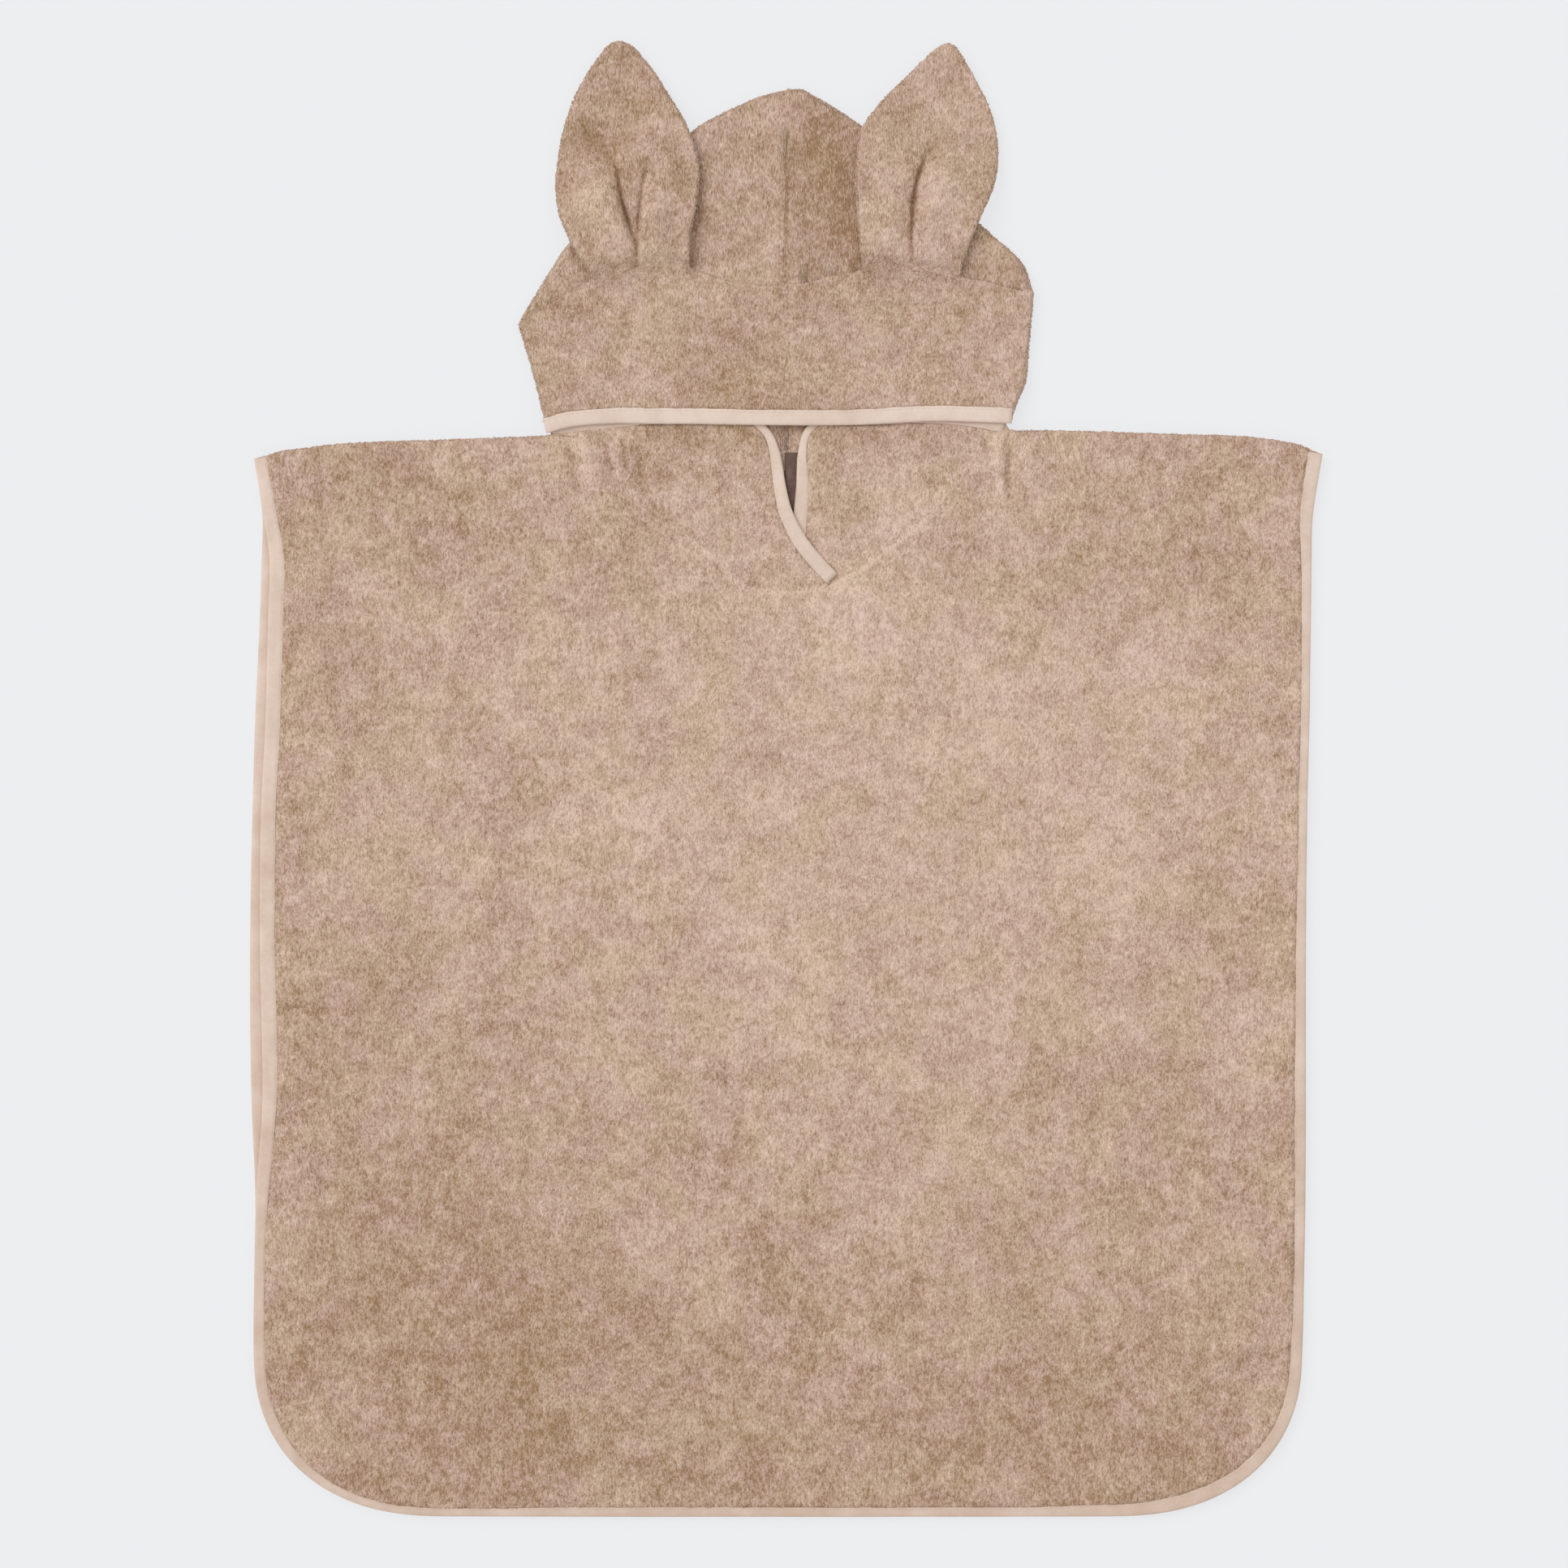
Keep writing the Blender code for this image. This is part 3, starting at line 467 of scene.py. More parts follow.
def heights_of(node):
    """A function that gives the lowest and highest places of a node at a point, or None beside it."""
    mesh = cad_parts[node].data
    tree = BVHTree.FromPolygons([v.co for v in mesh.vertices], [p.vertices for p in mesh.polygons])

    def at(x, y):
        over = tree.ray_cast(Vector((x, y, 1)), Vector((0, 0, -1)))[0]
        under = tree.ray_cast(Vector((x, y, -1)), Vector((0, 0, 1)))[0]
        return (under.z, over.z) if over and under else None

    return at


def line_tree(line):
    """Finds the nearest of these places, seen from above."""
    tree = KDTree(len(line))
    for i, point in enumerate(line):
        tree.insert(Vector((point.x, point.y, 0)), i)
    tree.balance()
    return tree


def seam_tree(nodes):
    """Finds the nearest edge of these pieces, seen from above."""
    places = [p for node in nodes for p in eased(top_rims(node)[0], SEAM_STEP)]
    return line_tree(places or [FAR_AWAY])


class Fold:
    """A soft ridge, or a trough where its height is negative, along a path. Sizes are in millimetres.

    tone is how much lighter it is painted along it: painted light where positive, painted shade where
    negative.
    """

    def __init__(self, width, height, *path, tone=0.0):
        self.width = width * MM
        self.height = height * MM
        self.tone = tone
        self.path = np.array(path) * MM

    def bell(self, points):
        """1 along the middle of the path, less beside it and towards its ends."""
        runs = np.diff(self.path, axis=0)
        lengths = np.linalg.norm(runs, axis=1)
        nearest, share = np.full(len(points), math.inf), np.zeros(len(points))
        for start, run, length, before in zip(self.path, runs, lengths, np.cumsum(lengths) - lengths):
            along = np.clip(((points - start) @ run) / (run @ run), 0, 1)
            away = np.linalg.norm(points - start - along[:, None] * run, axis=1)
            share = np.where(away < nearest, (before + along * length) / lengths.sum(), share)
            nearest = np.minimum(nearest, away)
        return np.exp(-((nearest / self.width) ** 2)) * (1 - FOLD_FADE * (2 * share - 1) ** 4)


def fold_heights(points, folds):
    """How far folds move the cloth, and how steep they are, at an array of points."""
    height, relief = np.zeros(len(points)), np.zeros(len(points))
    for fold in folds:
        bell = fold.bell(points)
        height += fold.height * bell
        relief += fold.height / fold.width * bell
    return height, relief


# A spot of painted light, or of painted shade where its tone is negative.
Spot = namedtuple("Spot", "x y radius tone")


def painted_shading_at(points, spots, folds):
    """Painted light and shade from spots and folds, at an array of points. Spots are in millimetres."""
    total = np.zeros(len(points))
    for fold in folds:
        if fold.tone:
            total += fold.tone * fold.bell(points)
    for spot in spots:
        away = np.linalg.norm(points - np.array((spot.x, spot.y)) * MM, axis=1)
        total += spot.tone * np.exp(-((away / (spot.radius * MM)) ** 2))
    return total


def set_attribute(mesh, name, values):
    mesh.attributes.new(name, "FLOAT", "POINT").data.foreach_set("value", values)


def fill_side(line, rings, spacing):
    """Points and facets that fill a closed line: its own points, then rings inside it, then a lattice."""
    inward = inward_of(line)
    points = [Vector((p.x, p.y)) for p in line]
    points += [p + way * depth for ring in rings for p, way, depth in zip(points[:], inward, ring)]
    edge = line_tree(line)
    low_x, high_x = min(p.x for p in line), max(p.x for p in line)
    low_y, high_y = min(p.y for p in line), max(p.y for p in line)
    row_height = spacing * math.sqrt(0.75)
    for row in range(1, math.ceil((high_y - low_y) / row_height)):
        y = low_y + row * row_height
        for column in range(math.ceil((high_x - low_x) / spacing)):
            x = low_x + (column + 0.5 * (row % 2)) * spacing
            _, nearest, away = edge.find(Vector((x, y, 0)))
            if away > rings[-1][nearest] + LATTICE_GAP * spacing:
                points.append(Vector((x, y)))
    rim = [(i, (i + 1) % len(line)) for i in range(len(line))]
    flat, _, facets, *_ = delaunay_2d_cdt(points, rim, [], FACETS_INSIDE, FACET_PRECISION)
    used = sorted({i for facet in facets for i in facet} | set(range(len(line))))
    place = {old: new for new, old in enumerate(used)}
    facets = [tuple(place[i] for i in facet) for facet in facets]
    return np.array([flat[i] for i in used]), np.array(facets)


def softened(values, links, times):
    """Each value moved to its neighbours' mean, a number of times."""
    ends = np.concatenate([links, links[:, ::-1]])
    count = np.maximum(np.bincount(ends[:, 0], minlength=len(values)), 1)
    for _ in range(times):
        values = np.bincount(ends[:, 0], weights=values[ends[:, 1]], minlength=len(values)) / count
    return values


def nearest_ways(tree, points):
    """For each point, how far the nearest of a tree's places is, and which it is."""
    found = [tree.find(Vector((x, y, 0))) for x, y in points]
    return np.array([f[2] for f in found]), np.array([f[1] for f in found])


def seam_steps(line, seams, node, sewn_to):
    """How far the cloth rises at each of its line's points to meet what it is sewn to half way."""
    inward = inward_of(line)
    own = heights_of(node)
    others = [heights_of(other) for other in sewn_to]
    steps = np.zeros(len(line))
    for i in np.flatnonzero(seams):
        here = own(*(line[i] + inward[i] * SEAM_PROBE))
        beyond = [other(*(line[i] - inward[i] * SEAM_PROBE)) for other in others]
        tops = [pair[1] for pair in beyond if pair]
        if here and tops:
            steps[i] = (max(tops) - here[1]) / 2
    for _ in range(4):
        steps = (np.roll(steps, 1) + 2 * steps + np.roll(steps, -1)) / 4
    return steps


def cloth_side(line, rings, spacing, node, tapes, seams, steps, folds, ease, over):
    """One side of a laid piece: its points with their heights, its facets, and how steep its folds are."""
    points, facets = fill_side(line, rings, spacing)
    links = np.concatenate([facets[:, [0, 1]], facets[:, [1, 2]], facets[:, [2, 0]]])
    count = len(line)
    probes = points.copy()
    probes[:count] += np.array(inward_of(line)) * PROBE_DEPTH
    cast = heights_of(node)
    found = [cast(x, y) for x, y in probes]
    hits = KDTree(len(found))
    for i, pair in enumerate(found):
        if pair:
            hits.insert(Vector((*probes[i], 0)), i)
    hits.balance()
    found = [pair or found[hits.find(Vector((*place, 0)))[1]] for pair, place in zip(found, probes)]
    low, high = np.array(found).T
    middle, half = (low + high) / 2, (high - low) / 2
    half[half < CRUSHED_LIMIT] = PILE_HALF
    middle, half = softened(middle, links, ease), softened(half, links, ease)
    away, nearest = nearest_ways(line_tree(line), points)
    away[:count] = 0.0
    seam = seams[nearest]
    full = 1 - np.sqrt(1 - (1 - np.clip(away / half, 0, 1)) ** 2)
    dip = np.where(seam, SEAM_DIP, FREE_DIP) * full
    for tape in tapes:
        inside, spot = nearest_ways(tape.tree, points)
        bound = inside < tape.widths[spot] - TAPE_HOLD
        dip[bound] = 0.0
        half[bound] = CRUSHED_HALF
    height, relief = fold_heights(points, folds)
    levelling = steps[nearest] * np.exp(-((away / SEAM_LEVELLING) ** 2))
    # Painted shade along the crease of each seam.
    relief -= seam * SEAM_SHADE * np.exp(-((away / SEAM_SOFTNESS) ** 2))
    rise = middle + height + (1 if over else -1) * half * (1 - dip)
    lowered = np.minimum(rise, middle + half + levelling - 2 * CRUSHED_HALF)
    rise = rise + levelling if over else np.where(levelling < 0, lowered, rise)
    free = (away < FREE_REACH) & ~seam & (half > CRUSHED_LIMIT)
    return np.column_stack([points, np.maximum(rise, 0.0)]), facets, relief, free.astype(float)


def flat_area(line):
    """The area inside a closed line."""
    return abs(sum(a.x * b.y - b.x * a.y for a, b in zip(line, line[1:] + line[:1]))) / 2


def keep_as(piece, node):
    """Puts a piece in a node's place, on the garment's one body."""
    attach(piece, "root")
    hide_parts(node)


def lay_cloth(
    name, node, material, top_grain, under_grain, taped=(), sewn_to=(), folds=(), spots=(),
    ease=2, pile=1.0,
):
    """A piece of cloth that lies as a node does and takes its place, as a sheet cut to its outline.

    It has rounded edges, and pile and tufts where it is towelling. The grains are the spacings of its
    net on both sides, and pile is the share of a towelling's that it has.
    """
    line = eased([Vector((p.x, p.y)) for p in top_rims(node)[0]], min(top_grain, OUTLINE_STEP))
    tapes = [tape_run(tape) for tape in taped]
    others, _ = nearest_ways(seam_tree(sewn_to), line)
    seams = others < SEAM_REACH
    steps = seam_steps(line, seams, node, sewn_to)
    line = [p - way * SEAM_PUSH if sewn else p for p, way, sewn in zip(line, inward_of(line), seams)]
    rings = np.outer(RINGS, np.ones(len(line)))
    for tape in tapes:
        inside, spot = nearest_ways(tape.tree, line)
        held = inside < TAPE_HELD
        rings[:, held] = np.add.outer(TAPE_RINGS, tape.widths[spot] - inside)[:, held]
    form = node, tapes, seams, steps, folds, ease
    top, top_facets, *over = cloth_side(line, rings, top_grain, *form, over=True)
    under, facets, *below = cloth_side(line, rings, under_grain, *form, over=False)
    points = np.concatenate([top, under])
    count = len(top)
    faces = [tuple(map(int, f)) for f in top_facets]
    faces += [tuple(int(count + i) for i in reversed(f)) for f in facets]
    for i in range(len(line)):
        after = (i + 1) % len(line)
        faces.append((after, i, count + i, count + after))
    mesh = bpy.data.meshes.new(name)
    mesh.from_pydata(points.tolist(), [], faces)
    set_attribute(mesh, "relief", np.append(over[0], below[0]))
    set_attribute(mesh, "free", np.append(over[1], below[1]))
    set_attribute(mesh, "painted_shading", painted_shading_at(points[:, :2], spots, folds))
    piece = put_in_scene(name, mesh)
    tufts = tuft_edges(f"{name}_tufts", mesh) if pile == 1.0 else []
    raise_pile(piece, material, pile)
    keep_as(piece, node)
    low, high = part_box(node)
    flat, area = (high.x - low.x, high.y - low.y), flat_area(top_rims(node)[0])


TAPE_WIDTH = 9.0 * MM
TAPE_STEP = 3.0 * MM
# How wide each tape shows, in millimetres, at shares of its run. Its inner edge is lost in the pile or
# rolled under where it shows narrow.
TAPE_SHOWS = {
    "binding_front": (
        (0, 6.9), (0.03, 8.8), (0.2, 9), (0.24, 7.6), (0.26, 6.0), (0.29, 6.5), (0.32, 7.0),
        (0.35, 5.2), (0.38, 4.8), (0.41, 4.8), (0.435, 5.7), (0.58, 5.6), (0.61, 7.0), (0.64, 8.6),
        (0.67, 7.9), (0.7, 7.0), (0.73, 6.0), (0.78, 6.7), (0.81, 6.4), (0.87, 5.2), (0.93, 5.2),
        (0.96, 6.0), (0.987, 8.1), (1, 8.6),
    ),
    "binding_throat_left": (
        (0, 8.6), (0.1, 8.6), (0.21, 7.9), (0.29, 7.0), (0.365, 6.0), (0.42, 4.8), (0.5, 4.4),
        (0.6, 8.0), (1, 9),
    ),
    "binding_throat_right": (
        (0, 9), (0.42, 8.5), (0.52, 4.6), (0.6, 4.4), (0.67, 6.2), (0.76, 7.8), (0.85, 8.4), (1, 8.4),
    ),
}
Run = namedtuple("Run", "line inward widths tree")


def fold_line_of(node):
    """The line of a tape's fold, with the cloth on its left."""
    rim = top_rims(node)[0]
    count = len(rim)
    turns = []
    for i in range(count):
        before, after = rim[i] - rim[i - 1], rim[(i + 1) % count] - rim[i]
        turns.append((before.xy.angle(after.xy, 0.0), i))
    ends = sorted(i for _, i in sorted(turns)[-4:])
    spans = []
    for start, end in zip(ends, ends[1:] + [ends[0] + count]):
        spans.append([rim[i % count] for i in range(start, end + 1)])
    long_sides = sorted(spans, key=length_of)[-2:]
    return min(long_sides, key=lambda side: sum(p.z for p in side) / len(side))


def tape_run(node):
    """A tape's fold line, the ways into its cloth, and the widths that show."""
    line = eased([Vector((p.x, p.y)) for p in fold_line_of(node)], TAPE_STEP, closed=False)
    steps = [0.0] + [(b - a).length for a, b in zip(line, line[1:])]
    shares = np.cumsum(steps) / sum(steps)
    known = np.array(TAPE_SHOWS.get(node, ((0, TAPE_WIDTH / MM),)))
    widths = np.interp(shares, known[:, 0], known[:, 1]) * MM
    fine = eased(line, TAPE_STEP / 4, closed=False)
    tree = KDTree(len(fine))
    for i, point in enumerate(fine):
        tree.insert(Vector((point.x, point.y, 0)), min(round(i * len(line) / len(fine)), len(line) - 1))
    tree.balance()
    return Run(line, inward_of(line, closed=False), widths, tree)


# Broad spots of painted light and painted shade on the body panels, darker towards the sides and the hem.
PANEL_SPOTS = (
    Spot(-180, 160, 62, -0.10),
    Spot(0, 125, 50, 0.06),
    Spot(170, 165, 70, -0.07),
    Spot(215, 25, 60, 0.06),
    Spot(-225, -150, 60, -0.06),
    Spot(-205, -285, 95, -0.13),
    Spot(-190, -400, 110, -0.12),
    Spot(-10, -405, 100, -0.11),
    Spot(180, -410, 105, -0.13),
    Spot(282, -150, 30, 0.08),
    Spot(-105, 160, 22, 0.05),
)
# The body's finish has a painted pool of light about its middle.
panel_finish = terry_finish("terry_body", 0.48, 1.0, 0.17, (0.03, 0.03, 0.0), 0.40)
lay_cloth(
    "back_panel", "body_back", panel_finish, 6.0 * MM, 3.0 * MM,
    taped=("binding_back",), sewn_to=("hood_left", "hood_right"), spots=PANEL_SPOTS,
)

# Tape of the back panel --------------------------
# A pale cotton tape folded lengthways over the panel's raw edge, from one shoulder round the hem to
# the other. Its two edges are turned under and caught by one row of straight stitches.

# The tape's light and dark colours: the dark end takes its uneven tone and the painted shade towards the hem.
TAPE_COLOUR = (0.82, 0.665, 0.565, 1)
TAPE_SHADE = (0.64, 0.475, 0.375, 1)
# The folded tape's section: across it from its fold, and up from its middle
TAPE_OVER = (
    (9.0, 0.60), (8.93, 0.98), (8.6, 1.14), (6.4, 1.20), (3.6, 1.22), (1.7, 1.18), (0.75, 0.98), (0.2, 0.55),
)
TAPE_UNDER = tuple((across, -up) for across, up in reversed(TAPE_OVER))
TAPE_SECTION = (*TAPE_OVER, (0.0, 0.0), *TAPE_UNDER, (1.4, -0.55), (0.8, 0.0), (1.4, 0.55))
TAPE_PROBES = (1.0 * MM, 4.5 * MM, 8.2 * MM)
WEAVE_PITCH = 0.62 * MM
STITCH_ACROSS = 7.5 * MM
STITCH_UP = 1.2 * MM
STITCH_LOWEST = 0.15 * MM
STITCH_PITCH = 3.4 * MM
STITCH_LENGTH = 2.5 * MM
STITCH_THICKNESS = 0.42 * MM


def tape_finish(name, light):
    """Smooth cotton tape, with a fine weave, soft uneven tone and painted shade towards the hem."""
    material, shader, start = new_finish(name, {"Specular IOR Level": 0.3, "Sheen Weight": 0.08})
    place = start.make("ShaderNodeTexCoord", out="Object")
    tone = grain_at(place, 16.0 * MM, 1.0, 2.0, 3.0) * 1.3 + grain_at(place, 2.2 * MM, 1.0, 2.0, 7.0) * 0.5
    x, y, _ = place.vector("SCALE", {0: place, "Scale": 2 * math.pi / WEAVE_PITCH}).parts()
    weave = x.maths("SINE", x) * y.maths("SINE", y)
    # Painted shade, darker towards the hem.
    down = place.parts()[1].between(0.15, -0.42)
    colour = (tone + weave * 0.05 + light - down * 0.42).blend(TAPE_SHADE, TAPE_COLOUR)
    height = weave * 0.4 + grain_at(place, 1.3 * MM, 1.0, 3.0, 13.0) * 1.4
    bump = height.make("ShaderNodeBump", None, {"Strength": 0.35, "Distance": 0.25 * MM, "Height": height})
    colour.feed(shader["Base Color"])
    (tone * 0.1 + 0.72).feed(shader["Roughness"])
    bump.feed(shader["Normal"])
    return material


def waver(distance, size, seed):
    """An even random line between -1 and 1, for handmade edges."""
    k = distance / size
    i = math.floor(k)
    t = k - i
    t = t * t * (3 - 2 * t)
    a, b = (math.modf(abs(math.sin((i + j) * 12.9898 + seed * 78.233)) * 43758.5453)[0] for j in (0, 1))
    return 2 * (a + (b - a) * t) - 1


def tape_middles(line, inward, cast):
    """The heights of a tape's middle at its probes, for each point of its line."""
    middles = []
    for i in range(len(line)):
        ring = min(max(i, 1), len(line) - 2)
        pairs = [cast(*(line[ring] + inward[ring] * across)) for across in TAPE_PROBES]
        found = [sum(pair) / 2 if pair else None for pair in pairs]
        known = [value for value in found if value is not None]
        spare = sum(known) / len(known) if known else middles[-1][0]
        middles.append([spare if value is None else value for value in found])
    middles = np.array(middles)
    for _ in range(2):
        middles[1:-1] = (middles[:-2] + 2 * middles[1:-1] + middles[2:]) / 4
    return middles


def folded_tape(name, node, material, seed):
    """The tape over one edge, the lines that its stitches follow above and below, and its length."""
    line, inward, widths, _ = tape_run(node)
    middles = tape_middles(line, inward, heights_of(node))
    points, over, under = [], [], []
    along = 0.0
    for i, (point, way) in enumerate(zip(line, inward)):
        along += (point - line[i - 1]).length if i else 0.0
        width = 1 + 0.030 * waver(along, 17.0 * MM, seed) + 0.018 * waver(along, 5.0 * MM, seed + 1)
        width *= widths[i] / TAPE_WIDTH
        fullness = 1 + 0.10 * waver(along, 6.0 * MM, seed + 2)
        outer = 0.12 * MM * waver(along, 21.0 * MM, seed + 3)
        for across, up in TAPE_SECTION:
            reach = outer + (across * MM - outer * (1 - across * MM / TAPE_WIDTH)) * width
            level = np.interp(reach, TAPE_PROBES, middles[i]) + up * MM * fullness
            points.append((*(point + way * reach), max(0.0, level)))
        row = STITCH_ACROSS * width
        level = np.interp(row, TAPE_PROBES, middles[i])
        place = point + way * row
        over.append(Vector((*place, level + STITCH_UP * fullness)))
        under.append(Vector((*place, max(STITCH_LOWEST, level - STITCH_UP * fullness))))
    size = len(TAPE_SECTION)
    faces = [tuple(range(size)), tuple(range(len(points) - 1, len(points) - size - 1, -1))]
    for ring in range(len(line) - 1):
        for k in range(size):
            here, there = ring * size + k, ring * size + (k + 1) % size
            faces.append((here, there, there + size, here + size))
    mesh = bpy.data.meshes.new(name)
    mesh.from_pydata(points, [], faces)
    shell = bmesh.new()
    shell.from_mesh(mesh)
    bmesh.ops.recalc_face_normals(shell, faces=shell.faces)
    shell.to_mesh(mesh)
    shell.free()
    mesh.materials.append(material)
    mesh.shade_smooth()
    return put_in_scene(name, mesh), over, under, length_of(line)


def stitch_tree():
    """Lays a stitch at every pitch along a line of edges."""
    tree, given = new_tree("stitches", "Pitch", "Length", "Thickness")
    start = Wire(tree)
    curve = start.make("GeometryNodeMeshToCurve", None, {0: given["Geometry"]})
    spots = curve.make("GeometryNodeResampleCurve", {"mode": "LENGTH"}, {
        "Curve": curve, "Length": given["Pitch"],
    })
    tangent = start.make("GeometryNodeInputTangent")
    turned = tangent.make("FunctionNodeAlignRotationToVector", {"axis": "X"}, {"Vector": tangent})
    ball = start.make("GeometryNodeMeshUVSphere", None, {"Segments": 6, "Rings": 4, "Radius": 0.5})
    size = start.gather(given["Length"], given["Thickness"], given["Thickness"])
    stitches = start.make(
        "GeometryNodeInstanceOnPoints", None,
        {"Points": spots, "Instance": ball, "Rotation": turned, "Scale": size},
    )
    close_tree(tree, stitches, given["Material"])
    return tree


STITCHES = stitch_tree()


def stitch_rows(name, rows, material):
    """Rows of straight stitches along lines."""
    points, edges = [], []
    for row in rows:
        first = len(points)
        points += row
        edges += [(first + i, first + i + 1) for i in range(len(row) - 1)]
    guide = bpy.data.meshes.new(name)
    guide.from_pydata(points, edges, [])
    piece = put_in_scene(name, guide)
    run_tree(piece, STITCHES, {
        "Pitch": STITCH_PITCH, "Length": STITCH_LENGTH, "Thickness": STITCH_THICKNESS,
        "Material": material,
    })
    piece.data.shade_smooth()
    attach(piece, "root")
    return piece


def bind_edge(name, node, material, thread, seed):
    """A tape with its stitches, in place of a node."""
    piece, over, under, length = folded_tape(name, node, material, seed)
    keep_as(piece, node)
    seam = stitch_rows(name.replace("tape", "stitches"), (over, under), thread)


# The side tape is painted darker than the face tape, as painted shade away from the middle.
side_tape_finish = tape_finish("tape_side", 0.62)
thread_finish = tape_finish("stitch_thread", 0.9)
bind_edge("tape_back", "binding_back", side_tape_finish, thread_finish, 1)

# Neck label --------------------------------------
# A small strip of dark woven tape sewn flat to the inside of the nape. It is bare, and only its middle
# shows, through the slit in the throat.

LABEL_DARK = (0.085, 0.052, 0.043, 1)
LABEL_LIGHT = (0.240, 0.155, 0.125, 1)
RIB_PITCH = 0.7 * MM


def label_finish():
    """Dark ribbed weave."""
    material, shader, start = new_finish("label_weave", {"Roughness": 0.8, "Specular IOR Level": 0.1})
    place = start.make("ShaderNodeTexCoord", out="Object")
    turn = place.parts()[1] * (2 * math.pi / RIB_PITCH)
    ribs = turn.maths("SINE", turn)
    tone = grain_at(place, 3.0 * MM, 1.0, 2.0) + ribs * 0.12 + 0.5
    bump = ribs.make("ShaderNodeBump", None, {"Strength": 0.3, "Distance": 0.2 * MM, "Height": ribs})
    tone.blend(LABEL_DARK, LABEL_LIGHT).feed(shader["Base Color"])
    bump.feed(shader["Normal"])
    return material


lay_cloth(
    "neck_label_strip", "neck_label", label_finish(),
    1.2 * MM, 4.0 * MM, ease=1, pile=0.15,
)

# Front panel -------------------------------------
# The upper towelling panel, with the round neckline that the hood is sewn into. It lies on the back
# panel, pulled into small puckers beside the neck seam, with a few soft wrinkles towards the hem.

# The neck seam's allowance shows as a thin ridge, and the cloth is gathered a little at its two ends.
# The tones paint a highlight along the ridge, and painted light and shade on the puckers.
NECK_FOLDS = (
    Fold(1.6, 0.6, (84, 151), (62, 132.5), (44, 119), (33, 112.8), (19, 108.3), (-1, 107.1), tone=0.24),
    Fold(1.6, 0.5, (-67, 145), (-52.6, 135.2), (-38.3, 123.5), (-27.6, 112), (-17, 107.4), (-1, 107.1),
         tone=0.17),
    Fold(2.8, 1.2, (-117, 197), (-114, 184), (-110, 170), tone=0.08),
    Fold(2.4, -1.0, (-126, 196), (-122, 178), (-119, 160), tone=-0.12),
    Fold(2.4, -1.1, (-104, 197), (-102, 182), (-96, 166), tone=-0.08),
    Fold(2.2, -0.8, (-93, 194), (-92, 172), tone=-0.14),
    Fold(2.2, -0.8, (-84, 192), (-84, 168), tone=-0.14),
    Fold(2.1, 1.2, (120, 194), (122, 176), (123.8, 158), tone=0.14),
    Fold(2.1, -1.2, (128, 192), (126.6, 176), (127, 158), tone=-0.14),
    Fold(2.2, -0.8, (113, 197), (117, 180), tone=-0.08),
    Fold(3.0, -0.7, (86, 188), (84, 164), tone=-0.08),
    Fold(3.0, -0.7, (98, 186), (97, 160), tone=-0.08),
)
FRONT_FOLDS = (
    *NECK_FOLDS,
    Fold(5.0, 0.9, (287, -304), (217, -362)),
    Fold(6.0, -0.6, (262, -330), (196, -384)),
    Fold(2.6, -0.5, (-8, -260), (56, -240)),
    Fold(4.5, 0.8, (-138, 188), (-126, 150)),
    Fold(3.5, -0.5, (-84, 150), (-92, 118)),
    Fold(3.6, 0.8, (139, 195), (141, 165)),
    Fold(5.0, -0.5, (152, 192), (158, 152)),
    Fold(9.0, 0.7, (-285, 150), (-262, 60)),
    Fold(9.0, 0.6, (282, 150), (270, 30)),
    Fold(24.0, 0.8, (-250, 40), (-205, -150)),
    Fold(40.0, 0.7, (-60, 40), (60, -60)),
    Fold(28.0, 0.7, (180, 60), (205, -170)),
    Fold(30.0, 0.8, (-150, -210), (-90, -360)),
    Fold(26.0, 0.6, (90, -190), (130, -330)),
)
lay_cloth(
    "front_panel", "body_front", panel_finish, 2.1 * MM, 14.0 * MM,
    taped=("binding_front",), sewn_to=("throat_left", "throat_right"), folds=FRONT_FOLDS,
    spots=PANEL_SPOTS,
)

# Tape of the front panel -------------------------
# The same folded tape over the front panel's edge, from one shoulder round the hem to the other. It
# isn't sewn to the back panel's, so the sides stay open.

bind_edge("tape_front", "binding_front", side_tape_finish, thread_finish, 2)

# Hood panels -------------------------------------
# The left and right halves of the hood, each one cut of towelling. It runs from the band up over the
# crown, where it is folded, and down inside to the nape. The two meet in a seam along the middle.

# The tones paint shade along the middle seam; the fold with no height is only painted shade.
CROWN_FOLDS = (
    Fold(5.5, 1.1, (-5, 386), (-4, 290)),
    Fold(1.5, -0.7, (-2.6, 388), (-2.9, 340), (-2.4, 288), tone=-0.10),
    Fold(1.7, 0.0, (-0.4, 391), (-0.4, 289), tone=-0.34),
    Fold(7.0, -0.4, (13, 384), (12, 290)),
    Fold(10.0, 0.9, (-44, 370), (-36, 300)),
    Fold(4.5, -0.9, (-52, 330), (-50, 292)),
    Fold(6.0, -0.7, (34, 350), (36, 296)),
)
# The crown's two lower corners are drawn down to the ends of the band seam.
Pull = namedtuple("Pull", "x y by_x by_y")
CORNER_PULLS = (Pull(-149.2, 267.2, -3.6, -6.4), Pull(141.4, 283.6, 0.2, -5.6), Pull(9.5, 391.5, 0.0, 1.8))
